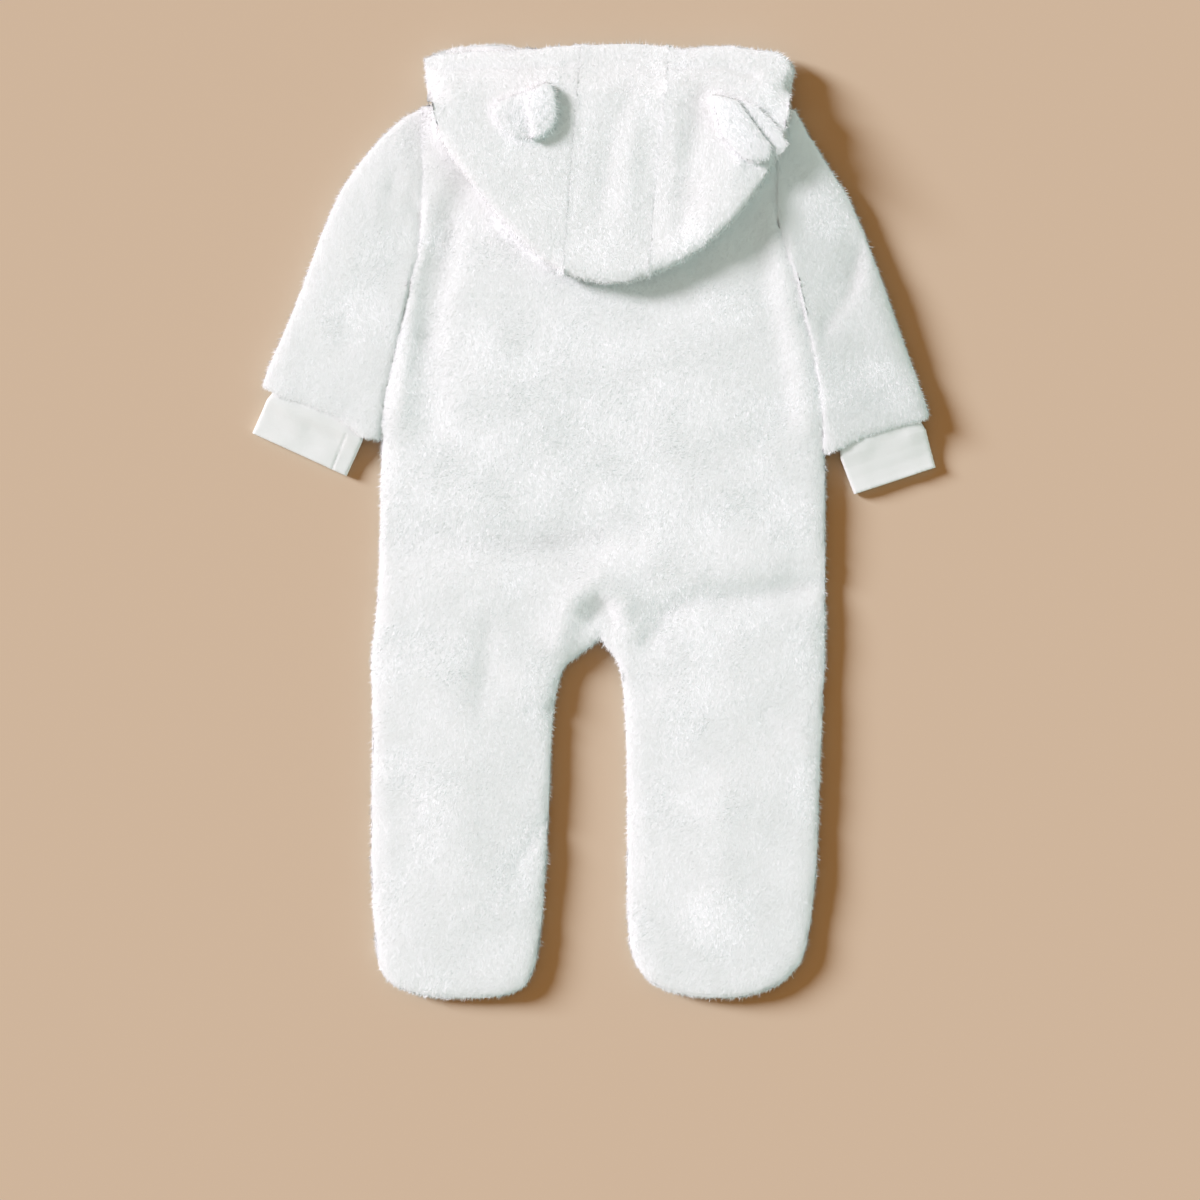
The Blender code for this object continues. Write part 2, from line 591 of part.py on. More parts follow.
def build_cuff(side, jersey):
    hem_outer, hem_inner, end_outer, end_inner = (np.array(p) for p in CUFF_ENDS[side])
    axis = (hem_outer + hem_inner - end_outer - end_inner) / 2
    axis /= np.linalg.norm(axis)
    tuck = CUFF_TUCK * (hem_inner - hem_outer) / np.linalg.norm(hem_inner - hem_outer)
    outside, inside = [], []
    for share, z in CUFF_STATIONS:
        if share < 0:  # inside the sleeve
            first = hem_outer - axis * CUFF_INSERT * share + tuck
            last = hem_inner - axis * CUFF_INSERT * share - tuck
        else:
            first = hem_outer + (end_outer - hem_outer) * share
            last = hem_inner + (end_inner - hem_inner) * share
        across = lambda u: first + (last - first) * u
        width = float(np.linalg.norm(last - first))
        outside.append(flat_ring(CUFF_COLUMNS, across, width, CUFF_ROUND, z, z + CUFF_TOP))
        slit = between(across, CUFF_SIDE / width)
        slit_z = (z + CUFF_WALL, z + CUFF_WALL + CUFF_SLIT)
        inside.append(flat_ring(CUFF_COLUMNS, slit, width, CUFF_SLIT_ROUND, *slit_z))
    tube("cuff_" + side, outside, inside, jersey)


def hood_calm(x, y):
    """Nothing under the ears, and everything away from them."""
    return ease(min(distance(x, y, EAR_LINES[name]) for name in EARS), *HOOD_EAR_CALM)


def hood_fullness(x, y):
    """How much of the crown's fullness there is at a point."""
    inset = min(distance(x, y, panel["crown"]) for panel in HOOD_PANELS.values())
    return (1 - ease(inset, *HOOD_FULL_REACH)) * (1 - ease(y, *HOOD_FULL_SPAN)) * hood_calm(x, y)


def hood_low(x, y):
    """The underside of the hood's upper layer: it comes down to its hem, and to its corners beside it."""
    over = HOOD_REST_Z + HOOD_CLOTH + HOOD_SLIT + HOOD_FULLNESS["underside"] * hood_fullness(x, y)
    inset = min(distance(x, y, side) for side in HOOD_SIDES)
    down = max(ease(y, *HOOD_SLOPE), (1 - ease(inset, 0, HOOD_SIDE_ROUND)) * ease(y, *HOOD_SIDE_START))
    return over + (HOOD_HEM_Z - over) * down


def hood_high(x, y):
    """The hood's top: calm under the ears, thicker along its stitched hem and full along its crown."""
    cloth = HOOD_CLOTH + (HOOD_HEM_CLOTH - HOOD_CLOTH) * ease(y, *HOOD_HEM_SPAN)
    cloth += (HOOD_FULLNESS["top"] - HOOD_FULLNESS["underside"]) * hood_fullness(x, y)
    return hood_low(x, y) + cloth + relief(HOOD_FOLDS, x, y) * hood_calm(x, y)


def hood_column(hem, crown, neck):
    """Outer and inner points of one column of a hood panel, from its hem over the crown to the neck."""
    hem, crown, neck = (np.array(p) for p in (hem, crown, neck))
    reach = float(np.linalg.norm(crown - hem))
    radius = (hood_high(*crown) - HOOD_REST_Z) / 2
    down = (crown - hem) / reach
    back = (neck - crown) / np.linalg.norm(neck - crown)
    last = crown - down * radius
    outer, inner = [], []
    for share in HOOD_STEPS:
        x, y = hem + (last - hem) * share
        inset = share * (reach - radius)
        low, high = hood_low(x, y), hood_high(x, y)
        outer.append((x, y, low + rolled(inset, HOOD_HEM_ROUND, high - low, HOOD_HEM_LIP)))
        inner.append((x, y, low))
    start = crown + back * radius
    under_top = HOOD_REST_Z + HOOD_CLOTH
    outer_middle, outer_turn = (outer[-1][2] + HOOD_REST_Z) / 2, (outer[-1][2] - HOOD_REST_Z) / 2
    inner_middle, inner_turn = (inner[-1][2] + under_top) / 2, (inner[-1][2] - under_top) / 2
    for angle in HOOD_TURN_ANGLES:
        c, s = math.cos(math.radians(angle)), math.sin(math.radians(angle))
        side = down if angle >= 0 else -back
        outer.append((*(crown - side * radius * (1 - c)), outer_middle + outer_turn * s))
        foot = last + (start - last) * max(-angle, 0) / 90
        inner.append((*(foot + down * inner_turn * 2 * c), inner_middle + inner_turn * s))
    for share in HOOD_UNDER_STEPS:
        x, y = start + (neck - start) * share
        outer.append((x, y, HOOD_REST_Z))
        inner.append((x, y, under_top))
    return outer, inner


def build_hood_panel(name, fleece):
    edges = HOOD_PANELS[name]
    shares = np.linspace(0, 1, HOOD_COLUMNS[name] + 1)
    ends = zip(*(along(edges[edge], shares) for edge in ("hem", "crown", "neck")))
    columns = [hood_column(*points) for points in ends]
    mesh = bmesh.new()
    outer, inner = ([[mesh.verts.new(p) for p in c[k]] for c in columns] for k in (0, 1))
    count = len(outer[0])
    for surface in (outer, inner):
        for a, b in zip(surface, surface[1:]):
            for k in range(count - 1):
                mesh.faces.new((a[k], a[k + 1], b[k + 1], b[k]))
    for side in (0, -1):  # along the seams
        a, b = outer[side], inner[side]
        for k in range(count - 1):
            mesh.faces.new((a[k], a[k + 1], b[k + 1], b[k]))
    for end in (0, -1):  # along the hem and the neck
        for c in range(len(outer) - 1):
            mesh.faces.new((outer[c][end], outer[c + 1][end], inner[c + 1][end], inner[c][end]))
    finish(name, mesh, fleece)


def throat_foot(x):
    """The throat pieces' lower edge: along the neckline and the shoulders, and clear of the sleeves."""
    foot = float(shoulder("front", x)) + THROAT_CLEAR
    for full, none, height in THROAT_OVER_SLEEVES:
        foot += max(height - foot, 0) * ease(x, none, full)
    return foot


def build_throat(side, fleece):
    """The lower layer of the hood's opening, between the front neckline and its own hem."""
    xs, tops = (column(THROAT_ROWS, THROAT_COLUMNS, name) for name in THROAT_COLUMNS)
    start, end = (xs[0], CENTRE_X - GAP / 2) if side == "left" else (xs[-1], CENTRE_X + GAP / 2)
    across = [start + (end - start) * share for share in THROAT_SHARES]
    line = np.linspace(xs[0], xs[-1], LINE_POINTS)
    top_edge = [(x, float(smooth(xs, tops, x))) for x in line]
    low_edge = [(x, throat_foot(x)) for x in line]
    outline = [top_edge, low_edge, [top_edge[0], low_edge[0]], [top_edge[-1], low_edge[-1]]]

    def low(x, y):
        inset = min(distance(x, y, edge) for edge in outline)
        return SEAM_Z - rolled(inset, THROAT_ROUND, SEAM_Z, THROAT_LIP)

    feet = [(x, throat_foot(x), float(smooth(xs, tops, x))) for x in across]
    rows = [[(x, foot + (top - foot) * step) for x, foot, top in feet] for step in THROAT_STEPS]
    slab("hood_throat_" + side, [rows], low, flat_top, fleece)


def ear_section(half, flap, side):
    """The middle line of an ear's section: flat, then turned over on one side. Points and normals."""
    turn = (EAR_WALL + EAR_FOLD) / 2
    run = max(half * 2 - turn, turn)
    over = max(half * 2 * flap - turn, turn * 0.4)
    points = [(-half + run * s, 0.0, 0.0, 1.0) for s in EAR_FLAT_STEPS]
    middle = -half + run
    for angle in EAR_TURN_ANGLES:
        a = math.radians(angle)
        points.append((middle + turn * math.cos(a), turn + turn * math.sin(a), -math.cos(a), -math.sin(a)))
    points += [(middle - over * s, 2 * turn, 0.0, -1.0) for s in EAR_FLAP_STEPS]
    return [(x * side, z, nx * side, nz) for x, z, nx, nz in points]


def build_ear(name, fleece):
    ear = EARS[name]
    length = float(np.linalg.norm(EAR_LINES[name][1] - EAR_LINES[name][0]))
    edges = (along(edge, EAR_STATIONS) for edge in ear["edges"])
    mesh = bmesh.new()
    rings = []
    for share, flap, left, right in zip(EAR_STATIONS, ear["flap"], *edges):
        middle, half = (left + right) / 2, float(np.linalg.norm(right - left)) / 2
        across = (right - left) / (2 * half)
        wall = EAR_WALL / 2 * rolled(min(share, 1 - share) * length, EAR_WALL, 1.0, EAR_THIN)
        section = ear_section(half, flap, ear["side"])
        far, near = [], []
        for k, (x, z, nx, nz) in enumerate(section):
            half_wall = wall * (0.5 if k in (0, len(section) - 1) else 1.0)
            rest = hood_high(*(middle + across * x)) + EAR_CLEAR + EAR_WALL / 2
            for way, ring in ((1, far), (-1, near)):
                place = middle + across * (x + way * nx * half_wall)
                ring.append((place[0], place[1], rest + z + way * nz * half_wall))
        rings.append([mesh.verts.new(p) for p in far + near[::-1]])
    for a, b in zip(rings, rings[1:]):
        for k in range(len(a)):
            n = (k + 1) % len(a)
            mesh.faces.new((a[k], a[n], b[n], b[k]))
    for ring in (rings[0], rings[-1]):
        half = len(ring) // 2
        for k in range(half - 1):
            mesh.faces.new((ring[k], ring[k + 1], ring[-k - 2], ring[-k - 1]))
    finish(name, mesh, fleece)


def build_fastening(jersey, cap):
    mesh = bmesh.new()
    bmesh.ops.create_cube(mesh, size=1.0)
    size = (2 * PLACKET_HALF, PLACKET_TOP_Y - PLACKET_END_Y - GAP, PLACKET_Z[1] - PLACKET_Z[0])
    bmesh.ops.scale(mesh, vec=size, verts=mesh.verts)
    centre = (CENTRE_X, (PLACKET_TOP_Y + PLACKET_END_Y + GAP) / 2, sum(PLACKET_Z) / 2)
    bmesh.ops.translate(mesh, vec=centre, verts=mesh.verts)
    finish("placket", mesh, jersey)
    for number, y in enumerate(np.linspace(*POPPER_Y, POPPERS), start=1):
        mesh = bmesh.new()
        bmesh.ops.create_cone(mesh, cap_ends=True, segments=POPPER_SIDES, radius1=POPPER_FACE_RADIUS,
                              radius2=POPPER_RADIUS, depth=POPPER_THICK)
        bmesh.ops.translate(mesh, vec=(CENTRE_X, y, POPPER_THICK / 2), verts=mesh.verts)
        finish(f"popper_{number}", mesh, cap)


def build():
    for thing in list(bpy.data.objects):
        bpy.data.objects.remove(thing, do_unlink=True)
    bpy.context.scene.collection.children.link(bpy.data.collections.new("sleepsuit"))
    fleece = make_material("fleece", FLEECE_COLOUR, 0.9)
    jersey = make_material("jersey", JERSEY_COLOUR, 0.8)
    cap = make_material("cap", CAP_COLOUR, 0.35)
    build_body(fleece)
    for side in ("left", "right"):
        build_sleeve(side, fleece)
        build_cuff(side, jersey)
        build_throat(side, fleece)
    for name in HOOD_PANELS:
        build_hood_panel(name, fleece)
    for name in EARS:
        build_ear(name, fleece)
    build_fastening(jersey, cap)


build()
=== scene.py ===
import math

import bmesh
import bpy
import numpy as np
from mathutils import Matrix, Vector
from mathutils.bvhtree import BVHTree
from mathutils.kdtree import KDTree


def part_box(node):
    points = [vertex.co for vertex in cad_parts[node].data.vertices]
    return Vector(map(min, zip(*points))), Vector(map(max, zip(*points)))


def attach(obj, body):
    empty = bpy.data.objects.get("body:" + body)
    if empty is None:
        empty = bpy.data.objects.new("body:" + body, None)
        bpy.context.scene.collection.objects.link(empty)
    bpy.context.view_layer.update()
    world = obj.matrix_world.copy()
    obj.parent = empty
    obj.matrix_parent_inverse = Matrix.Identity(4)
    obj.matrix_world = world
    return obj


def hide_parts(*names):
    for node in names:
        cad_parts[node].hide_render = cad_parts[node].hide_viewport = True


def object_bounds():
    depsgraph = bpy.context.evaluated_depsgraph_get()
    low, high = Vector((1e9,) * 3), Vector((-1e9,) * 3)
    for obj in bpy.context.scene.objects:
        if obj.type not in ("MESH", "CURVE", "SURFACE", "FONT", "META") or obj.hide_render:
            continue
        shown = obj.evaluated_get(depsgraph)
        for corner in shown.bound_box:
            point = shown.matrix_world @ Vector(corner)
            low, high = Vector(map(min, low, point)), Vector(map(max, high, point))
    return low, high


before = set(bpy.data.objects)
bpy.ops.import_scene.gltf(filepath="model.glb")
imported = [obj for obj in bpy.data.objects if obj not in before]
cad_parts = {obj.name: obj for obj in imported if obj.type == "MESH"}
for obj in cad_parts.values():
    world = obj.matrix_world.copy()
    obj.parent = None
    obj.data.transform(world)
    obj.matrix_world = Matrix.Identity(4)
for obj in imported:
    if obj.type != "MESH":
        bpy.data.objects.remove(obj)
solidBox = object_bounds()
mm = 0.001
print("frame loaded:", len(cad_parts), "nodes")


def waves(seed, shortest, longest, count=18):  # a smooth random field, wavelengths in metres
    random = np.random.default_rng(seed)
    heading = random.normal(size=(count, 3))
    heading /= np.linalg.norm(heading, axis=1)[:, None]
    length = random.uniform(shortest, longest, count)
    return heading * (2 * np.pi / length)[:, None], random.uniform(0, 2 * np.pi, count)


def waveHeight(wave, points):  # mostly between -1.5 and 1.5
    turns, start = wave
    return np.cos(points @ turns.T + start).sum(1) * math.sqrt(2 / len(start))


def waveSlope(wave, points):  # points uphill, unit length where the field is steepest
    turns, start = wave
    slope = -np.sin(points @ turns.T + start) @ turns
    return slope / (np.linalg.norm(slope, axis=1).mean() + 1e-9)


def unit(vectors):
    return vectors / np.maximum(np.linalg.norm(vectors, axis=-1, keepdims=True), 1e-12)


def ramp(value, start, end):
    t = np.clip((value - start) / (end - start), 0, 1)
    return t * t * (3 - 2 * t)


def lineDistance(points, line):  # from each point to a line through some points, in plan
    best = np.full(len(points), 1e9)
    for a, b in zip(np.array(line[:-1], float), np.array(line[1:], float)):
        run = b - a
        share = np.clip(((points[:, :2] - a) @ run) / (run @ run), 0, 1)
        best = np.minimum(best, np.linalg.norm(points[:, :2] - a - share[:, None] * run, axis=1))
    return best


def triangleArea(points, faces):
    a, b, c = (points[faces[:, k]] for k in range(3))
    return np.linalg.norm(np.cross(b - a, c - a), axis=1) / 2


wallWeight = 0.999  # a sewn edge takes its direction from the cloth beside it, not from its own wall


def pointNormals(points, faces, held=None):
    a, b, c = (points[faces[:, k]] for k in range(3))
    push = np.cross(b - a, c - a)
    if held is not None:
        push = push * (1 - wallWeight * held[faces].min(1))[:, None]
    total = np.stack([sum(np.bincount(faces[:, k], push[:, axis], len(points)) for k in range(3))
                      for axis in range(3)], axis=1)
    return unit(total)


def ringSum(values, pairs):  # for each point, over its neighbours along the mesh edges
    a, b = pairs.T
    return np.bincount(a, values[b], len(values)) + np.bincount(b, values[a], len(values))


def ringCount(pairs, total):
    return np.maximum(np.bincount(pairs.ravel(), minlength=total), 1)


def spreadOut(values, pairs, passes):  # averages values over the mesh, pass by pass
    count = ringCount(pairs, len(values))
    for _ in range(passes):
        values = 0.5 * values + 0.5 * ringSum(values, pairs) / count
    return values


def relax(points, pairs, passes, inward=0.5, outward=-0.52):  # takes facets out and keeps the size
    count = ringCount(pairs, len(points))[:, None]
    for _ in range(passes):
        for step in (inward, outward):
            mean = np.stack([ringSum(points[:, k], pairs) for k in range(3)], axis=1) / count
            points = points + step * (mean - points)
    return points


def melt(points, pairs, share, passes):  # softens heights, where share says so, and leaves the plan alone
    count = ringCount(pairs, len(points))
    height = points[:, 2].copy()
    for _ in range(passes):
        height += 0.5 * share * (ringSum(height, pairs) / count - height)
    return np.column_stack([points[:, :2], height])


def newPiece(name, points, faces, material):
    mesh = bpy.data.meshes.new(name)
    mesh.vertices.add(len(points))
    mesh.vertices.foreach_set("co", np.asarray(points, np.float32).ravel())
    mesh.loops.add(len(faces) * 3)
    mesh.loops.foreach_set("vertex_index", np.asarray(faces, np.int32).ravel())
    mesh.polygons.add(len(faces))
    mesh.polygons.foreach_set("loop_start", np.arange(0, len(faces) * 3, 3, dtype=np.int32))
    mesh.update(calc_edges=True)
    mesh.materials.append(material)
    mesh.shade_smooth()
    piece = bpy.data.objects.new(name, mesh)
    bpy.context.scene.collection.objects.link(piece)
    return piece


def newGroup(name, inputs, outputs):
    group = bpy.data.node_groups.new(name, "ShaderNodeTree")
    for label, kind, value in inputs:
        socket = group.interface.new_socket(label, in_out="INPUT", socket_type=kind)
        socket.default_value = value
    for label, kind in outputs:
        group.interface.new_socket(label, in_out="OUTPUT", socket_type=kind)
    return group, group.nodes.new("NodeGroupInput"), group.nodes.new("NodeGroupOutput")


def addNode(tree, kind, values=(), **settings):  # values go to the sockets, by name or number
    node = tree.nodes.new(kind)
    for setting, value in settings.items():
        setattr(node, setting, value)
    for socket, value in dict(values).items():
        node.inputs[socket].default_value = value
    return node


def connect(tree, *links):
    for start, end in links:
        tree.links.new(start, end)


def toneGroup():  # cloudy change of colour over the cloth
    group, given, out = newGroup(
        "cloudyTone",
        [("Light", "NodeSocketColor", (0.9, 0.9, 0.9, 1)), ("Dark", "NodeSocketColor", (0.8, 0.8, 0.8, 1)),
         ("Size", "NodeSocketFloat", 30.0), ("Fine Size", "NodeSocketFloat", 300.0)],
        [("Color", "NodeSocketColor"), ("Mask", "NodeSocketFloat")])
    place = addNode(group, "ShaderNodeTexCoord")
    wide = addNode(group, "ShaderNodeTexNoise", {"Detail": 3})
    fine = addNode(group, "ShaderNodeTexNoise", {"Detail": 3})
    half = addNode(group, "ShaderNodeMath", {1: 0.5}, operation="MULTIPLY")
    both = addNode(group, "ShaderNodeMath", {1: 0.5}, operation="MULTIPLY_ADD")
    mix = addNode(group, "ShaderNodeMix", data_type="RGBA")
    connect(
        group,
        (place.outputs["Object"], wide.inputs["Vector"]),
        (place.outputs["Object"], fine.inputs["Vector"]),
        (given.outputs["Size"], wide.inputs["Scale"]),
        (given.outputs["Fine Size"], fine.inputs["Scale"]),
        (wide.outputs["Fac"], half.inputs[0]),
        (fine.outputs["Fac"], both.inputs[0]),
        (half.outputs[0], both.inputs[2]),
        (both.outputs[0], mix.inputs["Factor"]),
        (given.outputs["Dark"], mix.inputs["A"]),
        (given.outputs["Light"], mix.inputs["B"]),
        (mix.outputs["Result"], out.inputs["Color"]),
        (both.outputs[0], out.inputs["Mask"]))
    return group


def napGroup():  # short hairs lying along the comb, as a height
    group, given, out = newGroup(
        "napHeight",
        [("Size", "NodeSocketFloat", 650.0), ("Stretch", "NodeSocketVector", (1.0, 2.8, 1.0)),
         ("Swirl", "NodeSocketFloat", 0.004)],
        [("Height", "NodeSocketFloat")])
    place = addNode(group, "ShaderNodeTexCoord")
    slow = addNode(group, "ShaderNodeTexNoise", {"Scale": 45, "Detail": 1})
    push = addNode(group, "ShaderNodeVectorMath", operation="SCALE")
    bent = addNode(group, "ShaderNodeVectorMath", operation="ADD")
    turn = addNode(group, "ShaderNodeMapping", {"Rotation": (0, 0, math.radians(-27))}, vector_type="TEXTURE")
    hairs = addNode(group, "ShaderNodeTexNoise", {"Detail": 2.5, "Roughness": 0.55})
    connect(
        group,
        (place.outputs["Object"], slow.inputs["Vector"]),
        (slow.outputs["Color"], push.inputs[0]),
        (given.outputs["Swirl"], push.inputs["Scale"]),
        (place.outputs["Object"], bent.inputs[0]),
        (push.outputs["Vector"], bent.inputs[1]),
        (bent.outputs["Vector"], turn.inputs["Vector"]),
        (given.outputs["Stretch"], turn.inputs["Scale"]),
        (turn.outputs["Vector"], hairs.inputs["Vector"]),
        (given.outputs["Size"], hairs.inputs["Scale"]),
        (hairs.outputs["Fac"], out.inputs["Height"]))
    return group


cloudyTone = toneGroup()
napHeight = napGroup()


def newShader(name, values):
    material = bpy.data.materials.new(name)
    material.use_nodes = True
    shader = material.node_tree.nodes["Principled BSDF"]
    for socket, value in values.items():
        shader.inputs[socket].default_value = value
    return material, material.node_tree, shader


def clothMaterial(name, look):
    material, tree, shader = newShader(name, {
        "Roughness": look["roughness"], "Specular IOR Level": look["specular"],
        "Sheen Weight": look["sheen"], "Sheen Roughness": 0.5,
        "Subsurface Weight": look["soft"], "Subsurface Radius": (1, 1, 1), "Subsurface Scale": 0.002})
    tone = addNode(tree, "ShaderNodeGroup", {
        "Light": look["light"], "Dark": look["dark"],
        "Size": look["toneSize"], "Fine Size": look["fineSize"]}, node_tree=cloudyTone)
    connect(tree, (tone.outputs["Color"], shader.inputs["Base Color"]))
    if look["bump"]:
        nap = addNode(tree, "ShaderNodeGroup", {"Size": look["napSize"], "Stretch": look["napStretch"]},
                      node_tree=napHeight)
        bump = addNode(tree, "ShaderNodeBump", {"Strength": look["bump"], "Distance": look["bumpDepth"]})
        connect(tree, (nap.outputs["Height"], bump.inputs["Height"]),
                (bump.outputs["Normal"], shader.inputs["Normal"]))
    return material


backingLook = {
    "light": (0.87, 0.875, 0.87, 1), "dark": (0.845, 0.851, 0.845, 1), "toneSize": 22.0, "fineSize": 260.0,
    "roughness": 0.95, "specular": 0.15, "sheen": 0.2, "soft": 0.6, "bump": 1.0, "bumpDepth": 0.00013,
    "napSize": 850.0, "napStretch": (1.0, 2.6, 1.0),
}
pileLook = {
    "light": (0.87, 0.873, 0.87, 1), "dark": (0.84, 0.844, 0.841, 1), "toneSize": 26.0, "fineSize": 420.0,
    "roughness": 0.9, "specular": 0.15, "sheen": 0.1, "soft": 0.0, "bump": 0.0,
}
jerseyLook = {
    "light": (0.90, 0.905, 0.90, 1), "dark": (0.875, 0.88, 0.875, 1), "toneSize": 18.0, "fineSize": 900.0,
    "roughness": 0.8, "specular": 0.3, "sheen": 0.15, "soft": 0.3, "bump": 0.4, "bumpDepth": 0.0001,
    "napSize": 1300.0, "napStretch": (1.0, 2.0, 1.0),
}
threadLook = jerseyLook | {"light": (0.9, 0.9, 0.89, 1), "bump": 0.0, "fineSize": 2500.0}
backing = clothMaterial("fleeceBacking", backingLook)
pile = clothMaterial("fleecePile", pileLook)
jersey = clothMaterial("cuffJersey", jerseyLook)
thread = clothMaterial("sewingThread", threadLook)
print("materials made")

allPoints, allFaces = [], []
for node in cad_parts.values():
    first = len(allPoints)
    allPoints += [v.co.copy() for v in node.data.vertices]
    allFaces += [[first + i for i in face.vertices] for face in node.data.polygons]
wholeGarment = BVHTree.FromPolygons(allPoints, allFaces)

# the garment from above, as a grid of heights where narrow valleys at the seams are filled; in millimetres
seamFill = {
    "cell": 1.25, "margin": 10.0, "above": 100.0, "slit": 1.5, "reach": 6.0, "cloth": 3.0,
    "blur": 3, "share": 0.95, "topLayer": (-2.8, -1.3),
}


def shifted(field, i, j):
    return np.roll(np.roll(field, i, 0), j, 1)


def bridged(field, radius):  # closes slits and valleys narrower than twice the radius, in cells
    whole = range(-math.ceil(radius), math.ceil(radius) + 1)
    disc = [(i, j) for i in whole for j in whole if math.hypot(i, j) <= radius]
    raised = np.max([shifted(field, i, j) for i, j in disc], axis=0)
    return np.min([shifted(raised, i, j) for i, j in disc], axis=0)


def makeSeamFill(rules):
    low, high = solidBox
    cell, margin = rules["cell"] * mm, rules["margin"] * mm
    across = [np.arange(low[k] - margin, high[k] + margin, cell) for k in range(2)]
    top = np.zeros((len(across[0]), len(across[1])))
    for i, x in enumerate(across[0]):
        for j, y in enumerate(across[1]):
            hit = wholeGarment.ray_cast(Vector((x, y, rules["above"] * mm)), Vector((0, 0, -1)))[0]
            top[i, j] = hit.z if hit is not None else 0
    top = bridged(top, rules["slit"])  # the slits between two panels are not depths
    fill = (bridged(top, rules["reach"] / rules["cell"]) - top) * (top > rules["cloth"] * mm)
    for _ in range(rules["blur"]):
        fill = (2 * fill + sum(shifted(fill, i, j) for i, j in ((0, 1), (1, 0), (0, -1), (-1, 0)))) / 6
    return top, fill * rules["share"], np.array([across[0][0], across[1][0]]), cell


garmentTop, valleyFill, fillStart, fillCell = makeSeamFill(seamFill)
print("seam valleys found")


def readField(field, points):
    spot = (points[:, :2] - fillStart) / fillCell
    base = np.clip(spot.astype(int), 0, np.array(field.shape) - 2)
    u, v = np.clip(spot - base, 0, 1).T
    i, j = base.T
    return (field[i, j] * (1 - u) * (1 - v) + field[i + 1, j] * u * (1 - v)
            + field[i, j + 1] * (1 - u) * v + field[i + 1, j + 1] * u * v)


def fillSeams(points, sewn, share):  # raises the edges of sewn panels out of the valley between them
    top, fill = readField(garmentTop, points), readField(valleyFill, points)
    start, end = seamFill["topLayer"]
    onTop = ramp(points[:, 2] - top, start * mm, end * mm) * share
    raised = points.copy()
    raised[:, 2] += onTop * np.maximum(sewn * (top + fill - points[:, 2]) + (1 - sewn) * fill, 0)
    return raised


# how near cloth hides a flat or a steep surface, and how near it is sewn on; in millimetres
reach = {
    "flat": 7.0, "steep": 1.2, "flatAbove": 0.7, "sewn": 1.1, "overlap": 0.2, "skin": 0.02,
    "tries": (0, -0.4, 0.4), "tilted": 0.3,
}


def neighbour(place, heading, limit):  # how far off the next cloth is, not counting the panel's own
    gone = reach["skin"] * mm
    while gone < limit:
        hit, hitNormal, _, far = wholeGarment.ray_cast(place + heading * gone, heading, limit - gone)
        if hit is None:
            return None
        if hitNormal.dot(heading) < 0:
            return gone + far
        gone += far + reach["skin"] * mm
    return None


def isCovered(place, normal):
    slope = "flat" if abs(normal.z) > reach["flatAbove"] else "steep"
    return neighbour(place, normal, reach[slope] * mm) is not None


def towardNeighbour(place, normal):  # the step that closes half of a sewn gap
    flatWay = Vector((normal.x, normal.y, 0))
    tries = [(place, normal)]
    if flatWay.length > reach["tilted"]:
        tries += [(place + Vector((0, 0, rise * mm)), flatWay.normalized()) for rise in reach["tries"]]
    if abs(normal.z) > reach["tilted"]:
        tries.append((place, Vector((0, 0, math.copysign(1, normal.z)))))
    gaps = [(neighbour(start, way, reach["sewn"] * mm), way) for start, way in tries]
    gaps = [(gap, way) for gap, way in gaps if gap is not None]
    if not gaps:
        return (0, 0, 0)
    gap, way = min(gaps, key=lambda found: found[0])
    return way * (gap / 2 + reach["overlap"] * mm)


fineCut = {"join": 0.02, "flatAngle": 0.004, "shortest": 0.15}  # the shortest edge is a share of the grid


def fineCopy(panel):  # the CAD surface cut into small even triangles
    bm = bmesh.new()
    bm.from_mesh(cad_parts[panel["node"]].data)
    grid, join = panel["grid"] * mm, fineCut["join"] * mm
    bmesh.ops.remove_doubles(bm, verts=bm.verts, dist=join)
    bmesh.ops.dissolve_limit(bm, angle_limit=fineCut["flatAngle"], verts=bm.verts, edges=bm.edges)
    for k in range(2):
        spots = [v.co[k] for v in bm.verts]
        for at in np.arange(min(spots) + grid / 2, max(spots), grid):
            place, normal = [0, 0, 0], [0, 0, 0]
            place[k], normal[k] = at, 1
            everything = bm.verts[:] + bm.edges[:] + bm.faces[:]
            bmesh.ops.bisect_plane(bm, geom=everything, dist=join, plane_co=place, plane_no=normal)
    bmesh.ops.remove_doubles(bm, verts=bm.verts, dist=panel["grid"] * fineCut["shortest"] * mm)
    bmesh.ops.holes_fill(bm, edges=[e for e in bm.edges if len(e.link_faces) < 2], sides=0)
    bmesh.ops.triangulate(bm, faces=bm.faces[:])
    bm.verts.index_update()
    points = np.array([v.co for v in bm.verts])
    faces = np.array([[v.index for v in face.verts] for face in bm.faces])
    pairs = np.array([[v.index for v in edge.verts] for edge in bm.edges])
    bm.free()
    return points, faces, pairs


tuftWave = waves(11, 4.0 * mm, 7.0 * mm)
lumpWave = waves(12, 12 * mm, 26 * mm)
slowWave = waves(13, 45 * mm, 90 * mm)
lockWave = waves(14, 2.5 * mm, 5 * mm)
combWave = [waves(seed, 28 * mm, 60 * mm, 10) for seed in (21, 22)]

# what tells a sewn edge from loose cloth: averaging passes, ramps and shares; tuck and lowest in millimetres
edge = {
    "nearPasses": 3, "near": (0.03, 0.4), "sewnPasses": 5, "sewn": (0.01, 0.12), "top": 0.2,
    "wallRise": 0.4, "firm": 0.6, "calm": 0.4, "tuck": 0.45, "lowest": 0.2,
}
shellRules = {  # where relief and inset take hold, by how far a surface faces up
    "deepest": 50.0, "skin": 0.05, "thinnest": 0.3, "insetPasses": 2, "under": (0.75, 0.95),
    "side": (-0.2, 0.5), "melted": (0.3, 0.7), "lifted": -0.3, "puffed": 0.35,
}


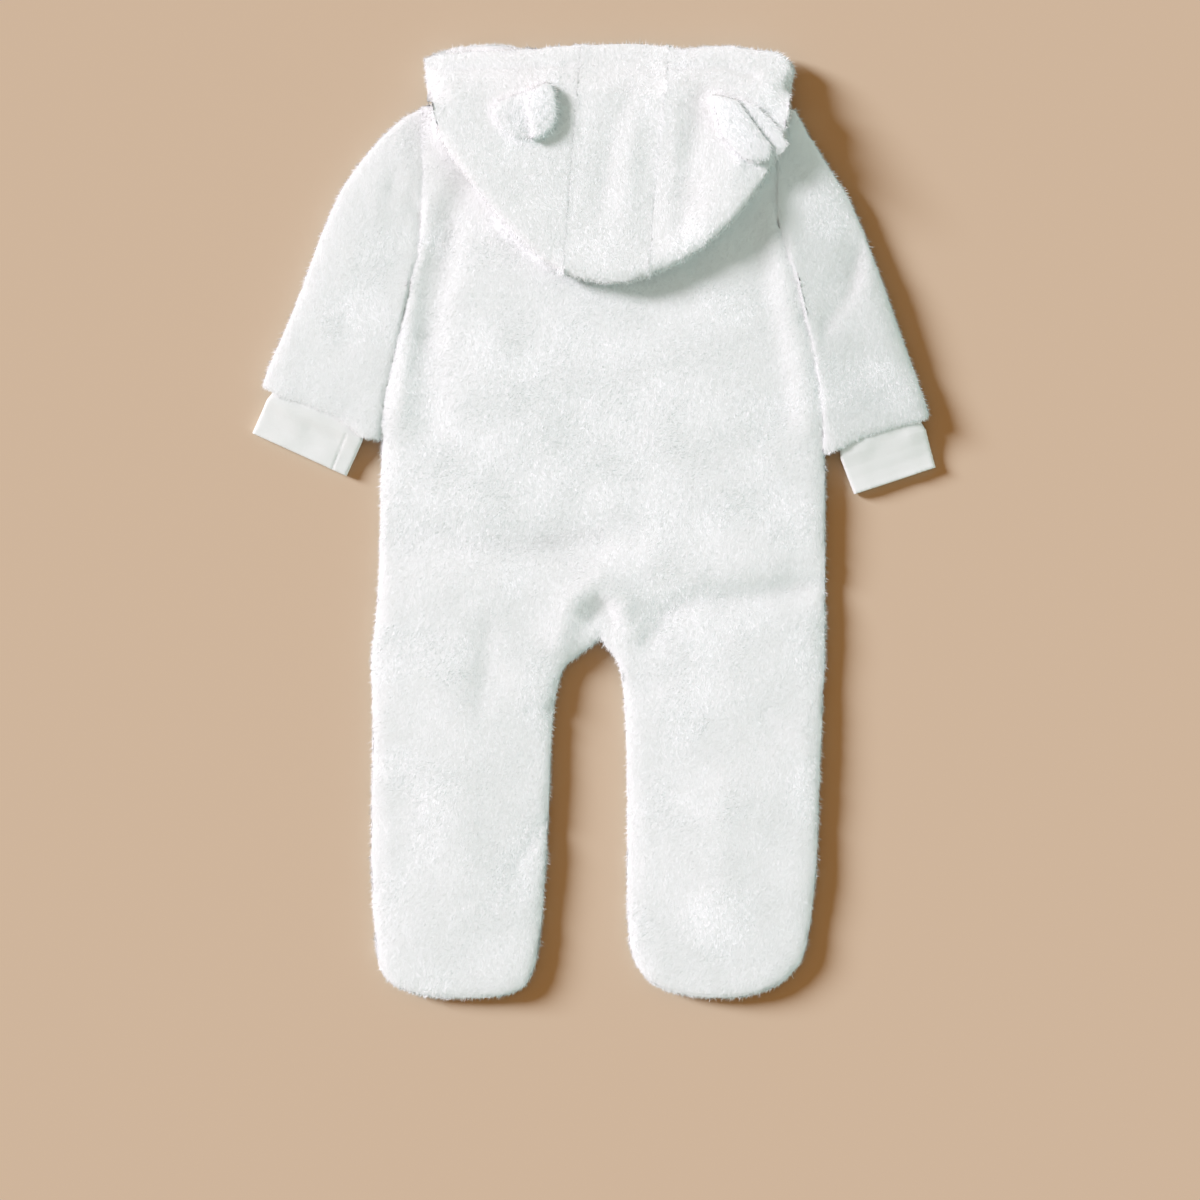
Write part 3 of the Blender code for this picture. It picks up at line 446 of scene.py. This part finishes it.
def thicknessUnder(points, faces, normals):  # straight in from each point
    own = BVHTree.FromPolygons([Vector(p) for p in points], faces.tolist())
    deepest = shellRules["deepest"] * mm
    found = np.full(len(points), deepest)
    for k, (place, normal) in enumerate(zip(points, normals)):
        hit = own.ray_cast(Vector(place - normal * shellRules["skin"] * mm), Vector(-normal), deepest)
        if hit[0] is not None:
            found[k] = hit[3]
    return found


def creaseHeight(points, creases):  # soft ridges and troughs along lines, in millimetres
    total = np.zeros(len(points))
    for height, width, line in creases:
        total += height * np.exp(-(lineDistance(points / mm, line) / width) ** 2)
    return total


def reliefOf(points, normals, pairs, panel):  # tufts, lumps, folds and creases, in millimetres
    lift = panel["tufts"] * waveHeight(tuftWave, points) + panel["lumps"] * waveHeight(lumpWave, points)
    lift += panel["waves"] * waveHeight(slowWave, points)
    lift += creaseHeight(points, panel["creases"])
    if panel["puff"]:
        puffed = shellRules["puffed"]
        inner = spreadOut((normals[:, 2] > puffed).astype(float), pairs, panel["puffPasses"])
        lift += panel["puff"] * ramp(inner, puffed, 1.0)
    return lift


def wayDown(values, points, pairs):  # which way the values fall, at each point
    a, b = pairs.T
    fall = (values[a] - values[b])[:, None] * unit(points[b] - points[a])
    return unit(np.stack([np.bincount(a, fall[:, k], len(points)) + np.bincount(b, fall[:, k], len(points))
                          for k in range(3)], axis=1))


def shellOf(panel):  # the backing: the CAD surface brought in by the pile's depth, with its relief
    points, faces, pairs = fineCopy(panel)
    normals = pointNormals(points, faces)
    shows = np.array([not isCovered(Vector(p), Vector(n)) for p, n in zip(points, normals)], float)
    seam = ramp(1 - spreadOut(shows, pairs, edge["nearPasses"]), *edge["near"])
    step = np.array([towardNeighbour(Vector(p), Vector(n)) for p, n in zip(points, normals)])
    far = np.linalg.norm(step, axis=1)
    held = (far > 0).astype(float)
    shows *= 1 - held
    onTop = (1 - held) * (normals[:, 2] > edge["top"])
    sewn = ramp(spreadOut(held, pairs, edge["sewnPasses"]), *edge["sewn"])
    wall = (held > 0) & (abs(step[:, 2]) < edge["wallRise"] * far)
    loose = ((1 - held) * (1 - edge["firm"] * spreadOut(held, pairs, 1)))[:, None]

    points = fillSeams(points, sewn, panel["fill"])
    for x, y, radius, push in panel["nudges"]:
        spot = np.hypot(points[:, 0] - x * mm, points[:, 1] - y * mm) / (radius * mm)
        points += np.exp(-spot**2)[:, None] * np.array(push) * mm
    points += (relax(points, pairs, panel["relax"]) - points) * loose + step
    points += (relax(points, pairs, panel["round"], outward=0) - points) * loose
    normals = pointNormals(points, faces)
    points = melt(points, pairs, ramp(normals[:, 2], *shellRules["melted"]) * (1 - seam), panel["melt"])

    normals = pointNormals(points, faces)
    thickness = thicknessUnder(points, faces, normals)
    under = ramp(-normals[:, 2], *shellRules["under"])
    depth = panel["pileDepth"] * (1 - under) + panel["underDepth"] * under
    inset = np.minimum(depth * mm, thickness * shellRules["thinnest"])
    inset = spreadOut(inset * shows * (1 - edge["calm"] * seam), pairs, shellRules["insetPasses"])
    fade = spreadOut(shows, pairs, edge["nearPasses"])
    rise = fade * ramp(normals[:, 2], *shellRules["side"])
    way = normals * (1 - sewn)[:, None]
    way[:, 2] += sewn * (normals[:, 2] > shellRules["lifted"])
    lift = reliefOf(points, normals, pairs, panel) * mm * rise
    shift = unit(way) * ((lift - inset) * (1 - held))[:, None]

    near = ringSum(onTop, pairs)
    beside = np.maximum(near, 1)
    shift[:, 2] += held * ringSum(onTop * shift[:, 2], pairs) / beside  # goes down with the cloth beside it
    furry = np.maximum(shows, held * (near > 0))
    points = points + shift
    height = ringSum(onTop * points[:, 2], pairs) / beside
    level = np.where(wall & (near > 0), height - edge["tuck"] * mm, 0)
    points[:, 2] = np.maximum(points[:, 2], level)
    points[:, 2] += creaseHeight(points, panel["underCreases"]) * mm * under * (1 - held)
    if panel["flatten"]:
        lowest = points[:, 2].min()
        points[:, 2] = lowest + (points[:, 2] - lowest) * (1 - panel["flatten"])
    points[:, 2] = np.maximum(points[:, 2], edge["lowest"] * mm)
    return points, faces, pairs, (shows, furry, held), wayDown(fade, points, pairs) * seam[:, None]


def combed(points, panel):  # which way the pile lies
    heading = np.array([*panel["comb"], 0.0])
    swirl = np.stack([waveHeight(wave, points) for wave in combWave] + [np.zeros(len(points))], axis=1)
    return unit(heading + swirl * panel["swirl"])


softLight = {"own": 0.4, "broad": 0.6, "level": (0.2, 0.62), "slopes": (0.2, 0.85), "skyward": (-0.3, 0.3)}


def softNormals(points, faces, pairs, held, panel):  # deep pile hides small slopes, so it is lit by these
    normals = pointNormals(points, faces, held)
    broad = unit(np.stack([spreadOut(normals[:, k], pairs, panel["broad"]) for k in range(3)], axis=1))
    lifted = unit(softLight["own"] * normals + softLight["broad"] * broad)
    least, more = softLight["level"]
    lifted[:, :2] *= (least + more * ramp(lifted[:, 2], *softLight["slopes"]))[:, None]
    lifted += np.array(panel["bias"]) * ramp(lifted[:, 2], *softLight["skyward"])[:, None]
    return unit(lifted)


# how single locks differ; lifts and spreads in degrees, leans in radians, depths in millimetres
locks = {
    "ruffled": (0.2, 1.4), "ruffledLift": 11, "ruffledSpread": 6, "ruffledGlint": 0.9,
    "rim": (0, 0.5), "rimBelow": 0.75, "rimLift": 24, "rimUneven": 0.2,
    "pressed": (0.3, 0.8), "pressedLean": 1.5, "pressedShorter": 0.35,
    "strays": (0.3, 0.7, 2), "strayLean": 0.6, "strayLength": 1.3,
    "leanSpread": 8, "leanRange": (0.25, 1.45), "lengths": (0.65, 1.15), "widths": (0.75, 1.25),
    "rootDepth": 0.15, "lowest": 0.05, "softly": 0.9, "flatFace": 0.3, "downFace": -0.6,
}


def wantedLocks(panel, points, faces, normals, showing, atSeam):  # how many hair locks root in each face
    shows, furry = showing[:2]
    area = triangleArea(points, faces) / mm**2
    a, b, c = (points[faces[:, k]] for k in range(3))
    flatness = unit(np.cross(b - a, c - a))[:, 2]
    share = np.where(flatness > locks["flatFace"], furry[faces].mean(1), shows[faces].mean(1))
    down = normals[faces].mean(1)[:, 2] < locks["downFace"]
    wanted = area * share * np.where(down, panel["underDensity"], panel["density"])
    return wanted * (1 + panel["seamLocks"] * np.linalg.norm(atSeam, axis=1))


def scatter(wanted, random):  # a face for each lock, and the shares of its three corners
    total = int(wanted.sum())
    spots = (np.arange(total) + random.random(total)) * wanted.sum() / total
    pick = np.minimum(np.searchsorted(np.cumsum(wanted), spots), len(wanted) - 1)
    u, v = random.random(total), random.random(total)
    outside = u + v > 1
    u, v = np.where(outside, 1 - u, u), np.where(outside, 1 - v, v)
    return pick, np.stack([1 - u - v, u, v], axis=1)


def blended(values, faces, shares):  # what the corners hold, at each lock's place in its face
    return (values[faces] * shares[:, :, None]).sum(1)


def ruffledAt(roots, spots):  # where the pile stands up a little, from 0 to 1
    ruffled = ramp(waveHeight(slowWave, roots[:, [1, 0, 2]]), *locks["ruffled"])
    for x, y, radius in spots:
        far = (roots[:, 0] - x * mm) ** 2 + (roots[:, 1] - y * mm) ** 2
        ruffled += np.exp(-far / (radius * mm) ** 2)
    return np.minimum(ruffled, 1)


def furOf(panel, points, faces, showing, toSeam, soft):  # one thin blade a hair lock, rooted in the backing
    random = np.random.default_rng(panel["seed"])
    normals = pointNormals(points, faces, showing[2])
    atSeam = toSeam[faces].mean(1)
    pick, shares = scatter(wantedLocks(panel, points, faces, normals, showing, atSeam), random)
    total = len(pick)
    roots = blended(points, faces[pick], shares)
    normal = unit(blended(normals, faces[pick], shares))
    pressed = ramp(-normal[:, 2], *locks["pressed"])
    rim = ramp(locks["rimBelow"] - normal[:, 2], *locks["rim"])
    ruffled = ruffledAt(roots, panel["ruffled"])

    flow = combed(roots, panel) + panel["clump"] * waveSlope(tuftWave, roots)
    flow += panel["seamPull"] * atSeam[pick]
    flow += panel["loose"] * random.normal(size=(total, 3))
    flow = unit(flow - (flow * normal).sum(1)[:, None] * normal)
    spread = locks["leanSpread"] + locks["ruffledSpread"] * ruffled
    lean = panel["lean"] - locks["ruffledLift"] * ruffled - locks["rimLift"] * rim
    lean = np.radians(lean + spread * random.normal(size=total))
    always, ruffledMore, rimMore = locks["strays"]
    stray = random.random(total) < panel["strays"] * (always + ruffledMore * ruffled + rimMore * rim)
    lean = np.clip(np.where(stray, lean * locks["strayLean"], lean), *locks["leanRange"])
    lean = lean * (1 - pressed) + locks["pressedLean"] * pressed
    heading = normal * np.cos(lean)[:, None] + flow * np.sin(lean)[:, None]

    length = panel["length"] * mm * random.uniform(*locks["lengths"], total)
    length *= 1 - locks["pressedShorter"] * pressed
    length = np.where(stray, length * locks["strayLength"], length)
    length *= 1 + locks["rimUneven"] * rim * waveHeight(lockWave, roots)
    across = unit(np.cross(heading, normal) + panel["twist"] * random.normal(size=(total, 3)))
    across = unit(across - (across * heading).sum(1)[:, None] * heading)
    half = panel["width"] / 2 * mm * random.uniform(*locks["widths"], total)

    roots = roots - normal * locks["rootDepth"] * mm
    tips = roots + heading * length[:, None]
    left, right = roots - across * half[:, None], roots + across * half[:, None]
    blade = np.stack([left, right, tips], axis=1)
    face = np.cross(right - left, tips - left)
    turned = (face * normal).sum(1) < 0
    blade[turned] = blade[turned][:, [1, 0, 2]]
    blade[..., 2] = np.maximum(blade[..., 2], locks["lowest"] * mm)
    glint = panel["glint"] * (1 + locks["ruffledGlint"] * ruffled)[:, None]
    facing = unit(np.where(turned[:, None], -face, face))
    return blade, unit(locks["softly"] * unit(blended(soft, faces[pick], shares)) + glint * facing)


def addFur(name, blade, shading):
    fur = newPiece(name, blade.reshape(-1, 3), np.arange(len(blade) * 3).reshape(-1, 3), pile)
    fur.data.normals_split_custom_set_from_vertices(np.repeat(shading, 3, axis=0).astype(np.float32))
    fur.visible_shadow = False  # light goes through a pile this fine
    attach(fur, "root")
    return fur


# how far sewn edges look for each other, and between which heights the join sets in; in millimetres
weld = {
    "reach": 3.2, "drop": 3.0, "slack": 1.1, "nearer": 0.9, "least": 1e-5, "spread": 6, "above": (8.0, 10.0),
}


def meanHeight(found):  # of heights with their weights
    heights, weights = zip(*found)
    return np.average(heights, weights=weights)


def weldSeams(shells):  # two panels meet at one height along a seam, and the cloth beside it follows
    edges = [(number, k) for number, shell in enumerate(shells)
             for k in np.flatnonzero((shell[3][2] > 0) & (shell[3][1] > 0))]
    tree = KDTree(len(edges))
    for n, (number, k) in enumerate(edges):
        tree.insert(shells[number][0][k], n)
    tree.balance()
    change = [np.zeros(len(shell[0])) for shell in shells]
    for number, k in edges:
        place = shells[number][0][k]
        heights = {"own": [], "other": []}
        for spot, n, far in tree.find_range(Vector(place), weld["drop"] * mm):
            if math.hypot(spot.x - place[0], spot.y - place[1]) < weld["reach"] * mm:
                weight = weld["reach"] * weld["slack"] * mm - far * weld["nearer"]
                side = "own" if edges[n][0] == number else "other"
                heights[side].append((spot.z, max(weight, weld["least"])))
        if heights["other"]:
            middle = (meanHeight(heights["own"]) + meanHeight(heights["other"])) / 2
            change[number][k] = (middle - place[2]) * ramp(place[2] / mm, *weld["above"])
    for shell, step in zip(shells, change):
        points, faces, pairs = shell[:3]
        top = (shell[3][2] == 0) & (pointNormals(points, faces)[:, 2] > edge["top"])
        count = ringCount(pairs, len(points))
        for _ in range(weld["spread"]):
            step = np.where(top, ringSum(step, pairs) / count, step)
        points[:, 2] += step


def makePanel(panel, shell):
    points, faces, pairs, showing, toSeam = shell
    soft = softNormals(points, faces, pairs, showing[2], panel)
    cloth = newPiece(panel["name"], points, faces, backing)
    cloth.data.normals_split_custom_set_from_vertices(soft.astype(np.float32))
    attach(cloth, "root")
    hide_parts(panel["node"])
    blade, shading = furOf(panel, points, faces, showing, toSeam, soft)
    order = np.argsort(-blade[:, 0, 1], kind="stable")  # from the hood end to the feet
    for number, part in enumerate(np.array_split(order, panel["furPieces"]), start=1):
        addFur(f"{panel['name']}Pile{number}", blade[part], shading[part])
    print(panel["name"], len(faces), "triangles,", len(blade), "blades")


fleece = {  # what every fleece panel shares, lengths in millimetres
    "grid": 3.3, "relax": 12, "melt": 10, "round": 0, "nudges": (), "flatten": 0.0,
    "pileDepth": 1.6, "underDepth": 0.45, "tufts": 0.07, "lumps": 0.08, "waves": 0.25, "fill": 1.0,
    "creases": (), "underCreases": (), "puff": 0.0,
    "comb": (-0.45, -0.9), "swirl": 0.22, "density": 1.75, "underDensity": 0.5, "seamLocks": 3.5,
    "seamPull": 1.1, "clump": 0.2, "loose": 0.25, "twist": 0.26, "lean": 76, "length": 2.6, "width": 0.5,
    "ruffled": (), "strays": 0.1, "furPieces": 1, "broad": 8, "bias": (0, 0, 0.8), "glint": 0.6,
    "held": "laid",
}

backPanel = fleece | {
    "name": "backPanel", "node": "back", "seed": 1, "flat": (0.300, 0.600), "area": 0.152,
    "restsOn": ["front_left", "front_right"], "furPieces": 2, "glint": 0.85,
    "ruffled": ((0, 60, 85), (-95, 20, 45), (60, -70, 40), (-100, 100, 40)),
    "creases": (
        (-2.2, 9.0, ((-84, 222), (-94, 200), (-99, 171), (-105, 145), (-109, 122))),
        (-0.9, 9.0, ((-109, 112), (-109, 60))),
        (1.4, 6.0, ((-110, 205), (-114, 180), (-119, 150), (-124, 110), (-128, 70))),
        (0.8, 7.0, ((124, 190), (128, 150), (136, 105), (141, 60))),
        (-0.8, 8.0, ((106, 190), (114, 150), (123, 105), (127, 70))),
        (1.8, 6.5, ((-22, -84), (-16, -54), (3, -41), (20, -54), (25, -76))),
        (-1.4, 5.0, ((-2, -66), (6, -59), (12, -68))),
        (-1.6, 6.0, ((148, -42), (108, -50), (68, -53), (46, -62), (38, -80))),
        (-1.2, 6.0, ((-69, -73), (-71, -95), (-74, -122))),
        (-1.2, 3.5, ((-42, -126), (-27, -126))),
        (-1.2, 3.5, ((-33, -200), (-50, -229))),
        (-1.2, 4.0, ((19, -103), (40, -110))),
        (-1.1, 3.0, ((-89, -252), (-77, -248), (-67, -255))),
        (-1.0, 6.0, ((114, -128), (120, -140))),
        (-2.0, 14.0, ((-132, -8), (-60, -15), (25, -10))),
    ),
}

sleeveFleece = fleece | {"grid": 3.0, "restsOn": ["back"], "relax": 8, "melt": 6}
sleeveLeft = sleeveFleece | {
    "name": "leftSleeve", "node": "sleeve_left", "seed": 2, "flat": (0.190, 0.218), "area": 0.028,
    "comb": (-0.35, -0.93),
    "nudges": ((-150, 55, 14, (-2.0, -6.5, 0.8)), (-205, 82, 9, (-0.5, -1.5, 0.5))),
    "creases": ((-1.6, 4.0, ((-133, 218), (-119, 211), (-113, 198), (-113, 180))),),
}
sleeveRight = sleeveFleece | {
    "name": "rightSleeve", "node": "sleeve_right", "seed": 3, "flat": (0.175, 0.230), "area": 0.026,
    "comb": (-0.2, -0.97), "bias": (0.3, -0.1, 0.8),
    "nudges": ((158, 44, 13, (-0.5, -4.5, 0.8)), (214, 70, 9, (1.5, -1.5, 0.5))),
    "creases": ((-1.6, 4.5, ((154, 128), (170, 153), (175, 177))),),
}

frontFleece = fleece | {"grid": 6.0, "restsOn": []}  # out of sight, so its folds lie on the underside
frontLeft = frontFleece | {
    "name": "leftFront", "node": "front_left", "seed": 4, "flat": (0.151, 0.596), "area": 0.074,
    "underCreases": (
        (1.6, 6.0, ((-84, 200), (-100, 150), (-110, 80))),
        (1.4, 6.0, ((-30, -84), (-55, -66), (-95, -58))),
        (1.2, 5.0, ((-60, -100), (-70, -135), (-66, -165))),
        (1.0, 5.0, ((-95, -230), (-60, -240))),
        (1.0, 7.0, ((-40, 120), (-70, 95), (-100, 90))),
    ),
}
frontRight = frontFleece | {
    "name": "rightFront", "node": "front_right", "seed": 5, "flat": (0.149, 0.596), "area": 0.076,
    "underCreases": (
        (1.6, 6.0, ((104, 200), (118, 150), (124, 80))),
        (1.4, 6.0, ((36, -84), (60, -62), (110, -50))),
        (1.2, 5.0, ((80, -100), (86, -140), (78, -170))),
        (1.0, 5.0, ((66, -222), (104, -236))),
        (1.0, 7.0, ((50, 60), (80, 40), (112, 44))),
    ),
}

hoodFleece = fleece | {
    "grid": 2.7, "held": "folded", "restsOn": ["back"], "relax": 10, "melt": 12, "comb": (-0.1, -0.99),
    "bias": (0, 0, 1.1), "glint": 1.5, "twist": 0.36,
    "nudges": ((8, 156, 34, (0.0, -3.5, 0.0)),),  # the crown reaches lower than relaxing leaves it
}
hoodSeams = (
    (-0.7, 3.5, ((-20.5, 161), (-17.8, 192), (-12.5, 224), (-8.8, 257), (-8.8, 290))),
    (-0.7, 3.5, ((35.5, 161), (38.9, 184), (39.8, 208), (43.6, 231), (46.9, 249), (49.4, 290))),
)
hoodCentre = hoodFleece | {
    "name": "hoodBand", "node": "hood_centre", "seed": 6, "flat": (0.072, 0.290), "area": 0.017,
    "creases": ((-0.8, 4.5, ((24, 281), (14, 256), (8, 232), (6, 212))), *hoodSeams),
}
hoodLeft = hoodFleece | {
    "name": "leftHoodSide", "node": "hood_side_left", "seed": 7, "flat": (0.110, 0.260), "area": 0.020,
    "creases": ((-1.6, 2.2, ((-106, 298), (-59, 298.5), (-9, 300))), *hoodSeams),
}
hoodRight = hoodFleece | {
    "name": "rightHoodSide", "node": "hood_side_right", "seed": 8, "flat": (0.115, 0.260), "area": 0.021,
    "creases": (
        (-1.5, 2.2, ((50, 299), (59, 298.5), (88, 298.6), (106, 292))),
        (-1.2, 5.0, ((71, 282), (67, 254), (60, 221), (57, 191))),
        (-1.2, 2.5, ((113, 266), (119, 269), (126, 271))),
        *hoodSeams,
    ),
}
throatLeft = fleece | {
    "name": "leftThroat", "node": "hood_throat_left", "seed": 9, "flat": (0.115, 0.056), "area": 0.0046,
    "restsOn": [], "comb": (0.1, 1.0),
}
throatRight = throatLeft | {
    "name": "rightThroat", "node": "hood_throat_right", "seed": 10, "flat": (0.122, 0.048), "area": 0.0042,
}
earLeft = fleece | {
    "name": "leftEar", "node": "ear_left", "seed": 11, "flat": (0.062, 0.042), "area": 0.0019,
    "grid": 1.8, "held": "folded", "restsOn": ["hood_side_left"], "relax": 14, "melt": 30, "round": 8,
    "pileDepth": 1.2, "puff": 1.6, "puffPasses": 30, "flatten": 0.42, "fill": 0.0,
    "length": 3.0, "density": 2.4, "comb": (-0.1, -1.0), "lean": 66, "bias": (0.12, -0.1, 0.7), "glint": 1.0,
}
earRight = earLeft | {
    "name": "rightEar", "node": "ear_right", "seed": 12, "flat": (0.072, 0.050), "area": 0.0026,
    "restsOn": ["hood_side_right"], "comb": (0.3, -0.95),
}

panels = (backPanel, sleeveLeft, sleeveRight, frontLeft, frontRight, hoodCentre, hoodLeft, hoodRight,
          throatLeft, throatRight, earLeft, earRight)
shells = [shellOf(panel) for panel in panels]
print("shells shaped")
weldSeams([shell for panel, shell in zip(panels, shells) if panel["fill"]])
print("seams brought to one height")
for panel, shell in zip(panels, shells):
    makePanel(panel, shell)

jerseyPart = {  # smooth knit, folded double; lengths in millimetres
    "grid": 1.1, "relax": 4, "melt": 3, "round": 0, "nudges": (), "flatten": 0.0,
    "pileDepth": 0.1, "underDepth": 0.1, "tufts": 0.0, "lumps": 0.12, "waves": 0.1, "fill": 0.0,
    "creases": (), "underCreases": (), "puff": 0.0,
}
cuffLeft = jerseyPart | {
    "name": "leftCuff", "node": "cuff_left", "flat": (0.145, 0.062), "area": 0.0064,
    "restsOn": ["sleeve_left"],
    "creases": ((-0.6, 0.6, ((-163.5, 56), (-174, 30))), (-0.5, 5.0, ((-186, 60), (-170, 52)))),
}
cuffRight = jerseyPart | {
    "name": "rightCuff", "node": "cuff_right", "flat": (0.125, 0.056), "area": 0.0055,
    "restsOn": ["sleeve_right"],
    "creases": ((-0.5, 5.0, ((186, 48), (202, 56))),),
}
placketBand = jerseyPart | {
    "name": "frontBand", "node": "placket", "flat": (0.0225, 0.335), "area": 0.0075, "grid": 2.4,
    "restsOn": ["front_left", "front_right"],
}


def makeJersey(part, sewn=()):
    points, faces = shellOf(part)[:2]
    shell = newPiece(part["name"], points, faces, jersey)
    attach(shell, "root")
    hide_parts(part["node"])
    print(part["name"], len(faces), "triangles")


# rows of lockstitch; each stitch is a bar that dives in at both ends: share of its length, width, depth
bandSeams = {
    "from": -55.0, "to": 252.0, "inset": 1.8, "pitch": 3.0, "length": 2.2, "width": 0.5, "proud": 0.22,
    "back": 0.4, "bar": ((0, 0.35, 0.6), (0.25, 1, 0), (0.75, 1, 0), (1, 0.35, 0.6)),
}


def stitchPoints(x, y, rise, seams):  # three corners at each step along the bar
    points = []
    for share, fat, deep in seams["bar"]:
        along, height = y + share * seams["length"] * mm, rise + deep * seams["proud"] * mm
        half = fat * seams["width"] / 2 * mm
        points += [(x - half, along, height), (x + half, along, height)]
        points.append((x, along, rise + seams["back"] * mm))
    return points


def stitchFaces(first):
    faces = []
    for a in (first, first + 3, first + 6):
        b = a + 3
        for i, j in ((0, 1), (1, 2), (2, 0)):
            faces += [(a + j, a + i, b + i), (a + j, b + i, b + j)]
    last = first + 9
    return faces + [(first, first + 1, first + 2), (last + 2, last + 1, last)]


def makeBandSeams(seams):  # along both edges of the front band
    low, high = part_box("placket")
    rise, inset = low.z - seams["proud"] * mm, seams["inset"] * mm
    points, faces = [], []
    for x in (low.x + inset, high.x - inset):
        for y in np.arange(seams["from"], seams["to"], seams["pitch"]) * mm:
            faces += stitchFaces(len(points))
            points += stitchPoints(x, y, rise, seams)
    stitches = newPiece("frontBandSeams", points, faces, thread)
    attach(stitches, "root")
    return stitches


for cuff in (cuffLeft, cuffRight):
    makeJersey(cuff)
makeJersey(placketBand, [makeBandSeams(bandSeams)])

capLook = {"colour": (0.80, 0.81, 0.80, 1), "specular": 0.5, "roughness": (0.24, 0.34), "mottle": 160.0}


def capMaterial(look):  # satin plastic, slightly uneven
    material, tree, shader = newShader("popperCap", {
        "Base Color": look["colour"], "Specular IOR Level": look["specular"]})
    place = addNode(tree, "ShaderNodeTexCoord")
    noise = addNode(tree, "ShaderNodeTexNoise", {"Scale": look["mottle"]})
    low, high = look["roughness"]
    spread = addNode(tree, "ShaderNodeMapRange", {"To Min": low, "To Max": high})
    connect(tree, (place.outputs["Object"], noise.inputs["Vector"]),
            (noise.outputs["Fac"], spread.inputs["Value"]),
            (spread.outputs["Result"], shader.inputs["Roughness"]))
    return material


cap = capMaterial(capLook)
for name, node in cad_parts.items():
    if name.startswith("popper"):
        node.data.materials.clear()
        node.data.materials.append(cap)
print("popper caps finished")

stage = {"size": 8.0, "colour": (0.564, 0.504, 0.406, 1), "roughness": 0.9, "specular": 0.1}
paper = newShader("paper", {
    "Base Color": stage["colour"], "Roughness": stage["roughness"],
    "Specular IOR Level": stage["specular"]})[0]
floorMesh = bpy.data.meshes.new("floor")
bm = bmesh.new()
bmesh.ops.create_grid(bm, x_segments=1, y_segments=1, size=stage["size"] / 2)
bm.to_mesh(floorMesh)
bm.free()
floorMesh.materials.append(paper)
floor = bpy.data.objects.new("floor", floorMesh)
bpy.context.scene.collection.objects.link(floor)

# the paper's shadows are wider and warmer than the cloth's, so each has a key of its own;
# the cloth has a cool fill and a rim light besides; softness in degrees
lamps = {
    "clothKey": {"from": (-2.1, 1.05, 1.15), "softness": 15, "strength": 3.1, "colour": (1.0, 0.94, 1.02)},
    "clothFill": {"from": (0, 0, 2), "softness": 170, "strength": 0.85, "colour": (0.0, 0.73, 1.08)},
    "clothRim": {"from": (2.1, -0.9, 0.62), "softness": 70, "strength": 0.9, "colour": (0.6, 1.0, 0.95)},
    "paperKey": {"from": (-2.1, 0.88, 0.82), "softness": 17, "strength": 6.2, "colour": (1.0, 1.016, 1.07)},
}
litBy = {"INCLUDE": bpy.data.collections.new("paperOnly"), "EXCLUDE": bpy.data.collections.new("allButPaper")}
for state, link in litBy.items():
    link.objects.link(floor)
    link.collection_objects[0].light_linking.link_state = state
for name, lamp in lamps.items():
    lampData = bpy.data.lights.new(name, "SUN")
    lampData.angle = math.radians(lamp["softness"])
    lampData.energy = lamp["strength"]
    lampData.color = lamp["colour"]
    light = bpy.data.objects.new(name, lampData)
    light.location = lamp["from"]
    light.rotation_euler = (-Vector(lamp["from"])).to_track_quat("-Z", "Y").to_euler()
    light.light_linking.receiver_collection = litBy["INCLUDE" if name == "paperKey" else "EXCLUDE"]
    bpy.context.scene.collection.objects.link(light)

sky = {"colour": (1.12, 0.6, 0.24, 1), "strength": 0.39}
world = bpy.data.worlds.new("softFill")
world.use_nodes = True
world.node_tree.nodes["Background"].inputs["Color"].default_value = sky["colour"]
world.node_tree.nodes["Background"].inputs["Strength"].default_value = sky["strength"]
bpy.context.scene.world = world

view = {"centre": (4 * mm, -53 * mm), "across": 0.792, "lens": 200, "sensor": 36}
camera = bpy.data.cameras.new("camera")
camera.lens = view["lens"]
camera.sensor_width = view["sensor"]
eye = bpy.data.objects.new("camera", camera)
eye.location = (*view["centre"], view["across"] * view["lens"] / view["sensor"])
bpy.context.scene.collection.objects.link(eye)
bpy.context.scene.camera = eye
bpy.context.scene.view_settings.view_transform = "Standard"
print("stage, light and camera set")
